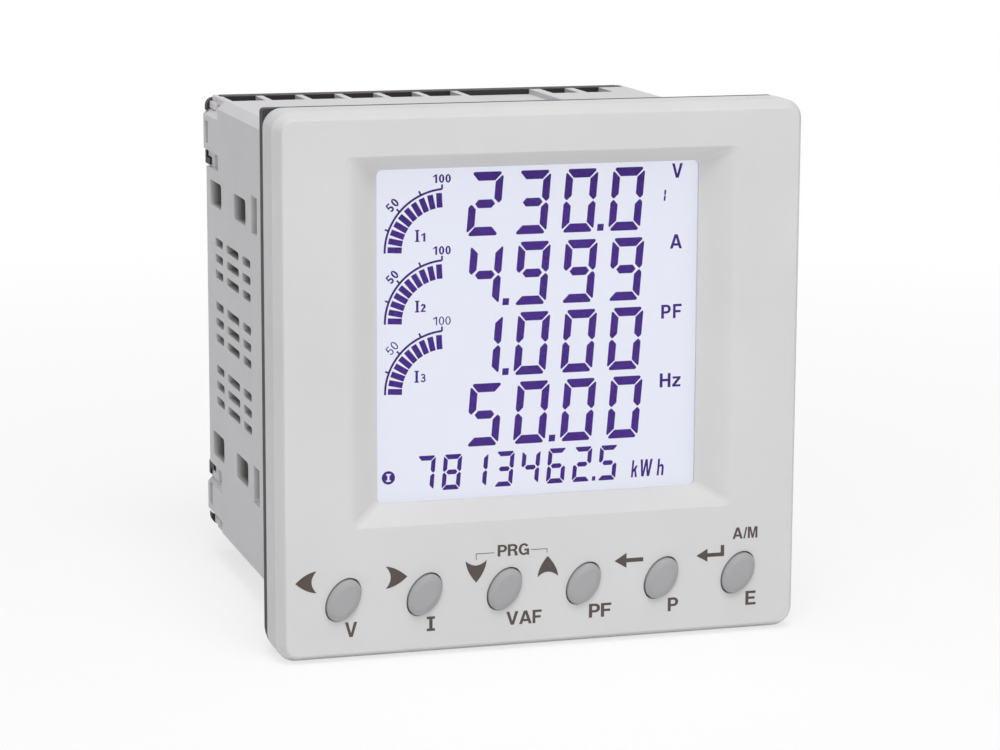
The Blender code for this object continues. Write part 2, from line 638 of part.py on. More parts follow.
def make_case(finish):
    tube = [(CASE_FRONT, HALF_CASE, HALF_CASE), (CASE_POST_DEPTH, HALF_CASE, HALF_CASE)]
    case = lofted("case_body", tube, (0, 0), parts, finish, 1, CASE_CHAMFER)
    reach = HALF_BEZEL - SKIRT_WALL - FIT
    flange = [(CASE_FRONT, reach, reach), (0.0, reach, reach)]
    join(case, lofted("case_flange", flange, (0, 0), segments=4, corner=BEZEL_CORNER - SKIRT_WALL))
    for name, (spans, rounded) in case_cutters().items():
        cut(case, boxes(name, spans, rounded=rounded))
    slope = POST_CHAMFER
    for number, (height, up) in enumerate(((STEP_BOTTOM, 1), (-STEP_BOTTOM, -1), (-NOTCH_TOP, 1))):
        for x in (1, -1):
            points = [
                (x * (HALF_CASE - slope - BEYOND), height + up * BEYOND),
                (x * (HALF_CASE + BEYOND), height - up * (slope + BEYOND)),
                (x * (HALF_CASE + BEYOND), height + up * BEYOND),
            ]
            cut(case, prism(f"post_chamfer_{number}_{x}", points, (STEP_START, COVER_REAR + BEYOND)))
    rest = both(CASE_INSIDE - REST_SIDE, CASE_INSIDE + CASE_WALL / 2)
    front = DISPLAY_BOARD_REAR + FIT
    rests = [(x, (front, front + REST_LENGTH), z) for x in rest for z in rest]
    join(case, boxes("board_rests", rests))


def make_rear(finish):
    head_hole = HEAD_RADIUS + HEAD_CLEARANCE
    screw_hole = SCREW_RADIUS + HEAD_CLEARANCE
    for name, row in (("upper", 1), ("lower", -1)):
        height = sorted((row * BLOCK_INSIDE, row * HALF_CASE))
        span = ((-HALF_BLOCK, HALF_BLOCK), (BLOCK_FRONT, BLOCK_REAR), height)
        block = boxes(f"terminal_block_{name}", [span], parts, finish)
        for number, x in enumerate(terminal_xs(), 1):
            seat = HEAD_FRONT - FIT
            bore = [
                (BLOCK_FRONT - BEYOND, screw_hole, screw_hole),
                (seat, screw_hole, screw_hole),
                (seat, head_hole, head_hole),
                (BLOCK_REAR + BEYOND, head_hole, head_hole),
            ]
            cut(block, lofted(f"bore_{name}_{number}", bore, (x, row * TERMINAL_HEIGHT), segments=12))

    inside = CASE_INSIDE - FIT
    half_height = HALF_CASE - 2 * FIT
    lobe = HALF_CASE - FIT
    lobe_bottom = STEP_BOTTOM + FIT
    plate = (COVER_FRONT, COVER_REAR)
    cover = boxes("rear_cover", [((-lobe, lobe), plate, (-half_height, half_height))], parts, finish, (1, COVER_CORNER, 4))
    slope_x = HALF_CASE - POST_CHAMFER + FIT * math.tan(math.radians(22.5))
    slope_end = lobe_bottom - (HALF_CASE + BEYOND - slope_x)
    for side in (-1, 1):
        half = [(inside, lobe_bottom), (slope_x, lobe_bottom), (HALF_CASE + BEYOND, slope_end)]
        points = [(side * x, z) for x, z in half] + [(side * x, -z) for x, z in reversed(half)]
        cut(cover, prism(f"cover_side_{side}", points, (COVER_FRONT - BEYOND, COVER_REAR + BEYOND)))
    latch_x = both(inside - COVER_THICK, lobe)
    strips = [(x, (COVER_REAR - LATCH_STRIP, COVER_REAR), z) for x in latch_x for z in both(NOTCH_BOTTOM + FIT, NOTCH_TOP - FIT)]
    join(cover, boxes("latch_strips", strips))
    feet_z = both(NOTCH_BOTTOM + FIT, NOTCH_BOTTOM + FIT + LATCH_FOOT)
    feet = [(x, (COVER_REAR - LATCH_LENGTH, COVER_REAR - LATCH_STRIP / 2), z) for x in latch_x for z in feet_z]
    join(cover, boxes("latch_feet", feet))
    for row in (1, -1):
        for number, x in enumerate(terminal_xs(), 1):
            hole = [(COVER_FRONT - BEYOND, head_hole, head_hole), (COVER_REAR + BEYOND, head_hole, head_hole)]
            cut(cover, lofted(f"driver_hole_{row}_{number}", hole, (x, row * TERMINAL_HEIGHT), segments=12))


def make_terminals(finish):
    rings = [
        (SHELF_FRONT, SCREW_RADIUS, SCREW_RADIUS),
        (WASHER_DEPTH, SCREW_RADIUS, SCREW_RADIUS),
        (WASHER_DEPTH, WASHER_RADIUS, WASHER_RADIUS),
        (WASHER_DEPTH + WASHER_THICK, WASHER_RADIUS, WASHER_RADIUS),
        (WASHER_DEPTH + WASHER_THICK, SCREW_RADIUS, SCREW_RADIUS),
        (HEAD_FRONT, SCREW_RADIUS, SCREW_RADIUS),
        (HEAD_FRONT, HEAD_RADIUS, HEAD_RADIUS),
        (HEAD_FRONT + HEAD_THICK, HEAD_RADIUS, HEAD_RADIUS),
    ]
    for name, row in (("upper", 1), ("lower", -1)):
        for number, x in enumerate(terminal_xs(), 1):
            lofted(f"terminal_{name}_{number}", rings, (x, row * TERMINAL_HEIGHT), parts, finish, 12)


def make_boards(finishes):
    board = finishes["board"]

    def upright(name, depth, width, height):
        span = ((-width / 2, width / 2), depth, (-height / 2, height / 2))
        return boxes(name, [span], parts, board)

    upright("display_board", (DISPLAY_BOARD_FRONT, DISPLAY_BOARD_REAR), DISPLAY_BOARD_WIDTH, DISPLAY_BOARD_HEIGHT)
    measuring = (MEASURING_BOARD_FRONT, MEASURING_BOARD_REAR)
    upright("measuring_board", measuring, MEASURING_BOARD_WIDTH, MEASURING_BOARD_HEIGHT)

    half = HEADER_WIDTH / 2
    heights = (POWER_BOARD_MIDDLE - HEADER_HEIGHT / 2, POWER_BOARD_MIDDLE + HEADER_HEIGHT / 2)
    front = DISPLAY_BOARD_REAR + FIT
    rear = HEADER_REAR_END - HEADER_LENGTH
    boxes("board_header_front", [((-half, half), (front, front + HEADER_LENGTH), heights)], parts, finishes["switch"])
    boxes("board_header_rear", [((-half, half), (rear, HEADER_REAR_END), heights)], parts, finishes["switch"])
    half = POWER_BOARD_WIDTH / 2
    top = POWER_BOARD_MIDDLE + BOARD_THICK / 2
    span = ((-half, half), (front + HEADER_LENGTH + FIT, rear - FIT), (POWER_BOARD_MIDDLE - BOARD_THICK / 2, top))
    boxes("power_board", [span], parts, board)

    x, depth = TRANSFORMER_PLACE

    def around(size, lift):
        low = top + FIT + lift
        return (
            (x - size[0] / 2, x + size[0] / 2),
            (depth - size[1] / 2, depth + size[1] / 2),
            (low, low + size[2]),
        )

    transformer = boxes("power_transformer", [around(CORE_SIZE, 0.0)], parts, finishes["metal"])
    join(transformer, boxes("transformer_coil", [around(COIL_SIZE, (CORE_SIZE[2] - COIL_SIZE[2]) / 2)]))
    base = top + FIT
    can = [
        (base, CAPACITOR_RADIUS, CAPACITOR_RADIUS),
        (base + CAPACITOR_HEIGHT, CAPACITOR_RADIUS, CAPACITOR_RADIUS),
    ]
    lofted("smoothing_capacitor", can, CAPACITOR_PLACE, parts, finishes["sleeve"], 16, upright=True)
    end = MEASURING_BOARD_FRONT - FIT
    ring = [(end - CT_LENGTH, CT_RADIUS, CT_RADIUS), (end, CT_RADIUS, CT_RADIUS)]
    bore = [(end - CT_LENGTH - BEYOND, CT_BORE, CT_BORE), (end + BEYOND, CT_BORE, CT_BORE)]
    for number in (1, 2, 3):
        place = ((number - 2) * CT_PITCH, CT_MIDDLE)
        coil = lofted(f"current_transformer_{number}", ring, place, parts, finishes["potting"], 20)
        cut(coil, lofted(f"coil_bore_{number}", bore, place, segments=12))


def main():
    clear_scene()
    finishes = make_materials()
    make_bezel(finishes["housing"])
    make_display(finishes)
    make_keys(finishes)
    make_gasket(finishes["gasket"])
    make_case(finishes["case"])
    make_rear(finishes["dark"])
    make_terminals(finishes["metal"])
    make_boards(finishes)


main()
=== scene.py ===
import math
import bpy
from mathutils import Matrix, Vector


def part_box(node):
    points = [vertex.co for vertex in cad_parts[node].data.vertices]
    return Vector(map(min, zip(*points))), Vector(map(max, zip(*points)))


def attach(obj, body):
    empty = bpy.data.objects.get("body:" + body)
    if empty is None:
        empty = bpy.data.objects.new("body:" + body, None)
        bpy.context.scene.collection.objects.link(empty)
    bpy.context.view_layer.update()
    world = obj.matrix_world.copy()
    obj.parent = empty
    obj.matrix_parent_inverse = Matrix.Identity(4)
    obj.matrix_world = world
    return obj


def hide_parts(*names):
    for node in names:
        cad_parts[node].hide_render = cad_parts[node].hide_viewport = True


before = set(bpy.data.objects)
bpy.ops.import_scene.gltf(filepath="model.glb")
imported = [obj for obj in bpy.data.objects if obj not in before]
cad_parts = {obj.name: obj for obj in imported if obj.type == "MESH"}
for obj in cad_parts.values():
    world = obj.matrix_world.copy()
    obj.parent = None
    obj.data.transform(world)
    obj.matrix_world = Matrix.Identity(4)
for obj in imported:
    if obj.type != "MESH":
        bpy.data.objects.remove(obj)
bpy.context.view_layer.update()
print("frame loaded,", len(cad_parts), "nodes")

mm = 0.001
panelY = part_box("front_bezel")[0].y + 10 * mm  # the front face stands 10 mm before the panel
middleZ = 48 * mm


def at(x, depth, height):  # millimetres from the bezel's middle, depth behind the panel plane
    return Vector((x * mm, panelY + depth * mm, middleZ + height * mm))


def freeHands():  # object mode with nothing selected
    if bpy.context.object and bpy.context.object.mode != "OBJECT":
        bpy.ops.object.mode_set(mode="OBJECT")
    bpy.ops.object.select_all(action="DESELECT")


def takeUp(piece):
    freeHands()
    piece.select_set(True)
    bpy.context.view_layer.objects.active = piece


def join(made):  # into the scene
    bpy.context.scene.collection.objects.link(made)


def settle(piece):  # the place goes into the mesh, so the object sits at the origin
    takeUp(piece)
    bpy.ops.object.transform_apply(location=True, rotation=True, scale=True)


def named(name):
    piece = bpy.context.object
    piece.name = name
    piece.data.name = name
    return piece


def openUp():  # edit mode with all of it selected
    bpy.ops.object.mode_set(mode="EDIT")
    bpy.ops.mesh.select_all(action="SELECT")


def openFace(name, halfWide, halfHigh):  # gives the new flat face its size
    piece = named(name)
    piece.scale = (halfWide * mm, halfHigh * mm, 1)
    settle(piece)
    openUp()
    return piece


def openPlate(name, place, halfWide, halfHigh, corner, steps):  # a flat face to the front, in edit mode
    freeHands()
    bpy.ops.mesh.primitive_plane_add(size=2, location=at(*place), rotation=(math.pi / 2, 0, 0))
    piece = openFace(name, halfWide, halfHigh)
    bpy.ops.mesh.bevel(offset=corner * mm, segments=steps, affect="VERTICES")
    return piece


def openOval(name, place, halfWide, halfHigh, points):  # the same, but oval
    freeHands()
    bpy.ops.mesh.primitive_circle_add(
        vertices=points, radius=1, fill_type="NGON", location=at(*place), rotation=(math.pi / 2, 0, 0)
    )
    return openFace(name, halfWide, halfHigh)


def pull(forward, wider=1.0, higher=1.0, place=None):  # extrudes the picked face towards the front
    bpy.ops.mesh.extrude_region_move(TRANSFORM_OT_translate={"value": (0, -forward * mm, 0)})
    if place:
        bpy.ops.transform.resize(value=(wider, 1, higher), center_override=at(*place))


def pullThrough(place, first, stations):  # stations of (depth, half width, half height)
    depth, wide, high = first
    for nextDepth, nextWide, nextHigh in stations:
        pull(depth - nextDepth, nextWide / wide, nextHigh / high, (place[0], nextDepth, place[1]))
        depth, wide, high = nextDepth, nextWide, nextHigh


def stepIn(first, stations):  # stations of (depth, inset): the face goes forward and in by a true offset
    depth, inset = first
    for nextDepth, nextInset in stations:
        if nextInset > inset:
            bpy.ops.mesh.inset(thickness=(nextInset - inset) * mm, depth=(depth - nextDepth) * mm)
        else:
            pull(depth - nextDepth)
        depth, inset = nextDepth, nextInset


def closeUp(piece):
    bpy.ops.mesh.select_all(action="SELECT")
    bpy.ops.mesh.remove_doubles(threshold=0.0000005)
    bpy.ops.mesh.normals_make_consistent(inside=False)
    bpy.ops.object.mode_set(mode="OBJECT")
    return piece


def block(name, x, depth, height):  # a closed block between two values on each axis
    low, high = at(x[0], depth[0], height[0]), at(x[1], depth[1], height[1])
    freeHands()
    bpy.ops.mesh.primitive_cube_add(size=1, location=(low + high) / 2)
    piece = named(name)
    piece.scale = high - low
    settle(piece)
    return piece


def carve(piece, tool, way="DIFFERENCE"):
    step = piece.modifiers.new(way.title(), "BOOLEAN")
    step.operation = way
    step.solver = "EXACT"
    step.object = tool
    takeUp(piece)
    bpy.ops.object.modifier_apply(modifier=step.name)
    bpy.data.objects.remove(tool, do_unlink=True)


edges = {  # angles in degrees, mergeWithin in millimetres
    "steps": 2, "sharpFrom": 35, "smoothTo": 40, "flatWeight": 80, "mergeWithin": 0.002, "flatWithin": 1.0,
}


def soften(piece, width, smooth=edges["smoothTo"]):  # rounded edges, with the flats kept flat
    takeUp(piece)
    if width:
        rounding = piece.modifiers.new("Edges", "BEVEL")
        rounding.width = width * mm
        rounding.segments = edges["steps"]
        rounding.limit_method = "ANGLE"
        rounding.angle_limit = math.radians(edges["sharpFrom"])
        rounding.use_clamp_overlap = True
        bpy.ops.object.modifier_apply(modifier=rounding.name)
    bpy.ops.object.shade_smooth_by_angle(angle=math.radians(smooth))
    flat = piece.modifiers.new("Flats", "WEIGHTED_NORMAL")
    flat.keep_sharp = True
    flat.weight = edges["flatWeight"]
    bpy.ops.object.modifier_apply(modifier=flat.name)


def tidyCopy(node, name):  # a working copy of a CAD node's mesh, merged
    freeHands()
    piece = bpy.data.objects.new(name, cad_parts[node].data.copy())
    join(piece)
    piece.data.name = name
    takeUp(piece)
    openUp()
    bpy.ops.mesh.remove_doubles(threshold=edges["mergeWithin"] * mm)
    bpy.ops.mesh.dissolve_limited(angle_limit=math.radians(edges["flatWithin"]))
    bpy.ops.object.mode_set(mode="OBJECT")
    return piece


def ownCopy(piece, name, move):  # a copy with its own mesh, moved by millimetres
    other = piece.copy()
    other.data = piece.data.copy()
    other.name = name
    other.data.name = name
    join(other)
    other.data.transform(Matrix.Translation(Vector(move) * mm))
    return other


def paint(piece, finish):
    piece.data.materials.clear()
    piece.data.materials.append(finish)


def hand(piece, body, slot, nodes=(), finish=None):  # the piece joins the meter
    paint(piece, finish or finishes[slot])
    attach(piece, body)
    if nodes:
        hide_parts(*nodes)


# finishes

def newFinish(name, colour, roughness, metal=0.0, specular=0.5):
    made = bpy.data.materials.new(name)
    made.use_nodes = True
    shader = made.node_tree.nodes["Principled BSDF"]
    shader.inputs["Base Color"].default_value = (*colour, 1)
    shader.inputs["Roughness"].default_value = roughness
    shader.inputs["Metallic"].default_value = metal
    shader.inputs["Specular IOR Level"].default_value = specular
    return made, made.node_tree, shader


def ownPlace(tree):  # where a point is on its piece
    return tree.nodes.new("ShaderNodeTexCoord").outputs["Object"]


def noiseOn(tree, scale, detail=3.0, stretch=(1, 1, 1)):
    turn = tree.nodes.new("ShaderNodeMapping")
    turn.inputs["Scale"].default_value = stretch
    noise = tree.nodes.new("ShaderNodeTexNoise")
    noise.inputs["Scale"].default_value = scale
    noise.inputs["Detail"].default_value = detail
    tree.links.new(ownPlace(tree), turn.inputs["Vector"])
    tree.links.new(turn.outputs["Vector"], noise.inputs["Vector"])
    return noise


def stretched(tree, value, first, last, low=0.0, high=1.0):  # maps a socket's range to another
    share = tree.nodes.new("ShaderNodeMapRange")
    for place, limit in zip(("From Min", "From Max", "To Min", "To Max"), (first, last, low, high)):
        share.inputs[place].default_value = limit
    tree.links.new(value, share.inputs["Value"])
    return share.outputs["Result"]


noiseMiddle = (0.3, 0.7)  # nearly all of a noise's values lie between these


def spread(tree, noise, low=0.0, high=1.0):
    return stretched(tree, noise.outputs["Fac"], *noiseMiddle, low, high)


def worked(tree, way, first, second=0.0):  # one step of arithmetic on sockets or numbers
    step = tree.nodes.new("ShaderNodeMath")
    step.operation = way
    for place, value in enumerate((first, second)):
        if isinstance(value, float):
            step.inputs[place].default_value = value
        else:
            tree.links.new(value, step.inputs[place])
    return step.outputs[0]


def mixedColour(tree, share, first, second):  # a colour and a second one, or a socket that gives it
    blend = tree.nodes.new("ShaderNodeMix")
    blend.data_type = "RGBA"
    blend.inputs[6].default_value = (*first, 1)
    if isinstance(second, bpy.types.NodeSocket):
        tree.links.new(second, blend.inputs[7])
    else:
        blend.inputs[7].default_value = (*second, 1)
    tree.links.new(share, blend.inputs[0])
    return blend.outputs[2]


def roughen(tree, shader, height, strength, depth):  # a bump as deep as the given millimetres
    bump = tree.nodes.new("ShaderNodeBump")
    bump.inputs["Strength"].default_value = strength
    bump.inputs["Distance"].default_value = depth * mm
    tree.links.new(height.outputs["Fac"], bump.inputs["Height"])
    tree.links.new(bump.outputs["Normal"], shader.inputs["Normal"])


plastic = {"grain": 3200, "cloud": 45, "patches": 225, "gloss": (-0.04, 0.05), "bump": 0.35}


def moulded(name, colour, roughness, grain=plastic["grain"], grainDepth=0.012, tint=0.02, specular=0.35):
    # moulded plastic: spark-eroded grain, a faint cloud in the colour and an uneven gloss
    made, tree, shader = newFinish(name, colour, roughness, specular=specular)
    share = spread(tree, noiseOn(tree, plastic["cloud"], 4.0))
    darker = [value * (1 - tint) for value in colour]
    lighter = [min(1.0, value * (1 + tint)) for value in colour]
    tree.links.new(mixedColour(tree, share, darker, lighter), shader.inputs["Base Color"])
    patches = noiseOn(tree, plastic["patches"])
    low, high = (roughness + step for step in plastic["gloss"])
    tree.links.new(spread(tree, patches, low, high), shader.inputs["Roughness"])
    fine = noiseOn(tree, grain, 2.0)
    roughen(tree, shader, fine, plastic["bump"], grainDepth)
    return made


skin = {  # millimetres from the case's middle: across for the walls, up or down for where painted shade lies on them
    "outer": 42.9, "inner": 41.3, "reach": 28, "slotLow": 33.5, "slotHigh": 38.3,
    # the inside colour is painted shade, laid on the walls' inner faces, vents and slots
    "inside": (0.205, 0.200, 0.178),
}


def paintedInsideShade(made):  # painted shade: the side walls' inside, their vents and the posts' slots are darkened from the skin inwards
    tree = made.node_tree
    colour = tree.nodes["Principled BSDF"].inputs["Base Color"]
    axes = tree.nodes.new("ShaderNodeSeparateXYZ")
    tree.links.new(ownPlace(tree), axes.inputs[0])
    across = worked(tree, "ABSOLUTE", axes.outputs["X"])
    height = worked(tree, "SUBTRACT", axes.outputs["Z"], middleZ)
    away = worked(tree, "ABSOLUTE", height)
    share = stretched(tree, across, skin["inner"] * mm, skin["outer"] * mm)
    beyond = worked(tree, "GREATER_THAN", away, skin["reach"] * mm)
    below = worked(tree, "LESS_THAN", away, skin["slotLow"] * mm)
    higher = worked(tree, "GREATER_THAN", away, skin["slotHigh"] * mm)
    unshaded = worked(tree, "MAXIMUM", worked(tree, "MINIMUM", beyond, below), higher)
    unshadedShare = worked(tree, "MAXIMUM", share, unshaded)
    # mixes the painted shade colour in where the place lies below the skin
    tree.links.new(mixedColour(tree, unshadedShare, skin["inside"], colour.links[0].from_socket), colour)
    return made


metal = {"marks": 900, "stain": 130, "worn": 0.82, "gloss": (-0.08, 0.12), "bump": 0.3, "bumpDepth": 0.01}


def turnedMetal(name, colour, roughness, brushed=(1, 1, 1)):  # plated steel with fine tool marks
    made, tree, shader = newFinish(name, colour, roughness, 1.0)
    marks = noiseOn(tree, metal["marks"], stretch=brushed)
    low, high = (roughness + step for step in metal["gloss"])
    tree.links.new(spread(tree, marks, low, high), shader.inputs["Roughness"])
    share = spread(tree, noiseOn(tree, metal["stain"]))
    worn = [value * metal["worn"] for value in colour]
    tree.links.new(mixedColour(tree, share, colour, worn), shader.inputs["Base Color"])
    roughen(tree, shader, marks, metal["bump"], metal["bumpDepth"])
    return made


ink = {"blots": 700, "paler": 1.14, "lift": 0.004, "gloss": (-0.05, 0.07)}


def inkOn(name, colour, roughness, specular):  # printed ink, thin and a little uneven
    made, tree, shader = newFinish(name, colour, roughness, specular=specular)
    blots = noiseOn(tree, ink["blots"], 4.0)
    paler = [value * ink["paler"] + ink["lift"] for value in colour]
    share = spread(tree, blots)
    tree.links.new(mixedColour(tree, share, colour, paler), shader.inputs["Base Color"])
    low, high = (roughness + step for step in ink["gloss"])
    tree.links.new(spread(tree, blots, low, high), shader.inputs["Roughness"])
    return made


lit = {
    "glow": 0.85, "extra": 0.05, "specular": 0.15, "cloud": 28, "second": 0.985, "fine": 2500,
    "gloss": (0.18, 0.27),
}


def litGlass(name, colour):  # the lit face of the display, its colour varied by a faint cloud
    made, tree, shader = newFinish(name, colour, lit["gloss"][0], specular=lit["specular"])
    share = spread(tree, noiseOn(tree, lit["cloud"], 2.0))
    second = (colour[0] * lit["second"], colour[1] * lit["second"], colour[2])
    unlit, unlitSecond = ([value * (1 - lit["glow"]) for value in shade] for shade in (colour, second))
    tree.links.new(mixedColour(tree, share, unlit, unlitSecond), shader.inputs["Base Color"])
    tree.links.new(mixedColour(tree, share, colour, second), shader.inputs["Emission Color"])
    shader.inputs["Emission Strength"].default_value = lit["glow"] + lit["extra"]
    fine = noiseOn(tree, lit["fine"], 2.0)
    tree.links.new(spread(tree, fine, *lit["gloss"]), shader.inputs["Roughness"])
    return made


pane = {"colour": (0.4, 0.4, 0.45), "alpha": 0.03, "haze": 90, "gloss": (0.04, 0.09)}


def clearSheet(name):  # the clear window, seen by its gloss and a trace of haze
    made, tree, shader = newFinish(name, pane["colour"], pane["gloss"][0])
    shader.inputs["Alpha"].default_value = pane["alpha"]
    haze = noiseOn(tree, pane["haze"])
    tree.links.new(spread(tree, haze, *pane["gloss"]), shader.inputs["Roughness"])
    return made


board = {
    "low": (0.012, 0.10, 0.04), "high": (0.02, 0.15, 0.06), "weave": 260, "waver": 1.5,
    "patches": 120, "gloss": (0.33, 0.48),
}


def boardGreen(name):  # solder mask over glass weave
    made, tree, shader = newFinish(name, board["low"], board["gloss"][0])
    weave = tree.nodes.new("ShaderNodeTexWave")
    weave.inputs["Scale"].default_value = board["weave"]
    weave.inputs["Distortion"].default_value = board["waver"]
    tree.links.new(ownPlace(tree), weave.inputs["Vector"])
    mask = mixedColour(tree, weave.outputs["Fac"], board["low"], board["high"])
    tree.links.new(mask, shader.inputs["Base Color"])
    patches = noiseOn(tree, board["patches"])
    tree.links.new(spread(tree, patches, *board["gloss"]), shader.inputs["Roughness"])
    return made


tubePlastic = moulded("Tube_plastic", (0.650, 0.638, 0.658), 0.55, grainDepth=0.016, specular=0.15)
finishes = {
    "housing_plastic": moulded("Housing_plastic", (0.652, 0.648, 0.650), 0.5, specular=0.15),
    # the case's plastic, with painted shade inside its walls
    "case_plastic": paintedInsideShade(tubePlastic),
    "key_plastic": moulded("Key_plastic", (0.358, 0.354, 0.366), 0.45, grain=4200, grainDepth=0.006),
    "dark_plastic": moulded("Dark_plastic", (0.040, 0.034, 0.038), 0.5, grainDepth=0.016, tint=0.12,
                            specular=0.12),
    "gasket_rubber": moulded("Gasket_rubber", (0.060, 0.050, 0.062), 0.72, grainDepth=0.02, tint=0.15,
                             specular=0.3),
    "clear_acrylic": clearSheet("Clear_acrylic"),
    "display_glass": litGlass("Display_glass", (0.776, 0.799, 0.891)),
    "light_guide": moulded("Light_guide", (0.82, 0.83, 0.84), 0.3, grainDepth=0.004),
    "zebra_rubber": moulded("Zebra_rubber", (0.09, 0.09, 0.095), 0.75, tint=0.15),
    "circuit_board": boardGreen("Circuit_board"),
    "switch_plastic": moulded("Switch_plastic", (0.035, 0.035, 0.037), 0.45, tint=0.12),
    "plunger_plastic": moulded("Plunger_plastic", (0.07, 0.07, 0.075), 0.4, tint=0.1),
    "terminal_steel": turnedMetal("Terminal_steel", (0.62, 0.60, 0.56), 0.32),
    "transformer_steel": turnedMetal("Transformer_steel", (0.38, 0.37, 0.36), 0.45, (1, 9, 1)),
    "potted_coil": moulded("Potted_coil", (0.03, 0.05, 0.17), 0.35, tint=0.15),
    "capacitor_sleeve": moulded("Capacitor_sleeve", (0.025, 0.03, 0.10), 0.3, tint=0.12),
}
panelInk = inkOn("Panel_ink", (0.088, 0.070, 0.062), 0.6, 0.2)
segmentInk = inkOn("Segment_ink", (0.046, 0.006, 0.205), 0.5, 0.05)
paleInk = inkOn("Pale_ink", (0.80, 0.82, 0.92), 0.5, 0.1)
print("finishes ready")


# front bezel

bezel = {  # depths, half widths and heights in millimetres; outside as (depth, inset)
    "half": 48.0, "corner": 3.6, "rear": -0.55, "rearSoft": 0.12,
    "outside": ((-7.2, 0.0), (-7.29, 0.012), (-7.38, 0.043), (-7.46, 0.083), (-9.62, 1.115),
                (-9.76, 1.195), (-9.88, 1.29), (-9.96, 1.405), (-10.0, 1.55)),
    "inside": 46.0, "insideCorner": 1.6, "wallRear": -7.8,
    "panRear": -5.5, "panSide": 31.15, "panCorner": 1.5, "panFront": (-8.9, 35.2, 33.3),
    "boss": 1.8, "bossRear": -3.1, "bossLong": 5.0, "bossPlaces": ((36.8, 38.0), (29.2, -38.0)),
    "smoothTo": 32,
}
recess = {  # sides as (share of the fall, half width), from the opening to the front face
    "half": 29.35, "corner": 1.1, "depth": -6.1, "rise": 0.3, "middle": 7.8, "fall": 3.9,
    "sides": ((0.03, 29.6), (0.07, 29.85), (0.13, 30.2), (0.2, 30.65), (0.28, 31.05), (0.38, 31.6),
              (0.5, 32.15), (0.62, 32.75), (0.75, 33.45), (0.85, 34.0), (0.92, 34.5), (0.97, 35.0),
              (1.0, 35.8)),
    "spread": 2.95, "flareFrom": 0.9, "flare": 0.16, "room": 2, "mouth": 0.8,
}
snap = {  # the arms that hold the case, with the hook at the end of each
    "across": (38.9, 40.5), "depth": (-8.9, 32.68), "halfHigh": 3.2, "heights": (-25.2, 25.2),
    "hookAcross": (39.7, 42.3), "hookDepth": (28.28, 32.38), "rampTo": 40.7, "rampShort": 0.2,
}
keyRow = {"count": 6, "pitch": 14.6, "height": -36.95, "turn": 32}
keyHole = {  # edge as (depth, flare)
    "short": 2.73, "long": 4.16, "rear": -6,
    "edge": ((-9.85, 0.0), (-9.94, 0.03), (-9.985, 0.07), (-10.01, 0.13), (-10.6, 0.2)),
}
keyXs = [(index - (keyRow["count"] - 1) / 2) * keyRow["pitch"] for index in range(keyRow["count"])]


def recessTool():  # from the opening, which sits a little above the middle of the recess
    half, rise, start = recess["half"], recess["rise"], recess["depth"]
    middle = recess["middle"] + rise
    piece = openPlate("recessTool", (0, start + recess["room"], middle), half, half, recess["corner"], 5)
    pull(recess["room"])
    last = (start, half, half, middle)
    for share, wide in recess["sides"]:
        high = half + recess["spread"] * share
        if share > recess["flareFrom"]:
            high += recess["flare"] * ((share - recess["flareFrom"]) / (1 - recess["flareFrom"])) ** 2
        middle = recess["middle"] + rise * (1 - share)
        nextDepth = start - recess["fall"] * share
        move = at(0, nextDepth, middle) - at(0, last[0], last[3])
        bpy.ops.mesh.extrude_region_move(TRANSFORM_OT_translate={"value": move})
        centre = at(0, nextDepth, middle)
        bpy.ops.transform.resize(value=(wide / last[1], 1, high / last[2]), center_override=centre)
        last = (nextDepth, wide, high, middle)
    pull(recess["mouth"])
    return closeUp(piece)


def keyHoleTool(x):
    short, long, rear = keyHole["short"], keyHole["long"], keyHole["rear"]
    piece = openOval("keyHoleTool", (0, rear, 0), short, long, 56)
    stations = [(depth, short + flare, long + flare) for depth, flare in keyHole["edge"]]
    pullThrough((0, 0), (rear, short, long), stations)
    closeUp(piece)
    turnKey(piece, x)
    return piece


def turnKey(piece, x):  # leans the upright oval to the right and moves it to its place
    lean = Matrix.Rotation(math.radians(keyRow["turn"]), 4, "Y")
    centre = at(0, 0, 0)
    piece.data.transform(Matrix.Translation(centre) @ lean @ Matrix.Translation(-centre))
    piece.data.transform(Matrix.Translation(Vector((x, 0, keyRow["height"])) * mm))


def snapArm(side, z):  # an arm with a hook that ramps down to the rear
    height = (z - snap["halfHigh"], z + snap["halfHigh"])
    arm = block("snapArm", sorted(side * x for x in snap["across"]), snap["depth"], height)
    hook = block("snapHook", sorted(side * x for x in snap["hookAcross"]), snap["hookDepth"], height)
    middle = sum((vert.co for vert in hook.data.vertices), Vector()) / len(hook.data.vertices)
    for vert in hook.data.vertices:
        if vert.co.y > middle.y and abs(vert.co.x) > abs(middle.x):
            vert.co.x = side * snap["rampTo"] * mm
            vert.co.y -= snap["rampShort"] * mm
    carve(arm, hook, "UNION")
    return arm


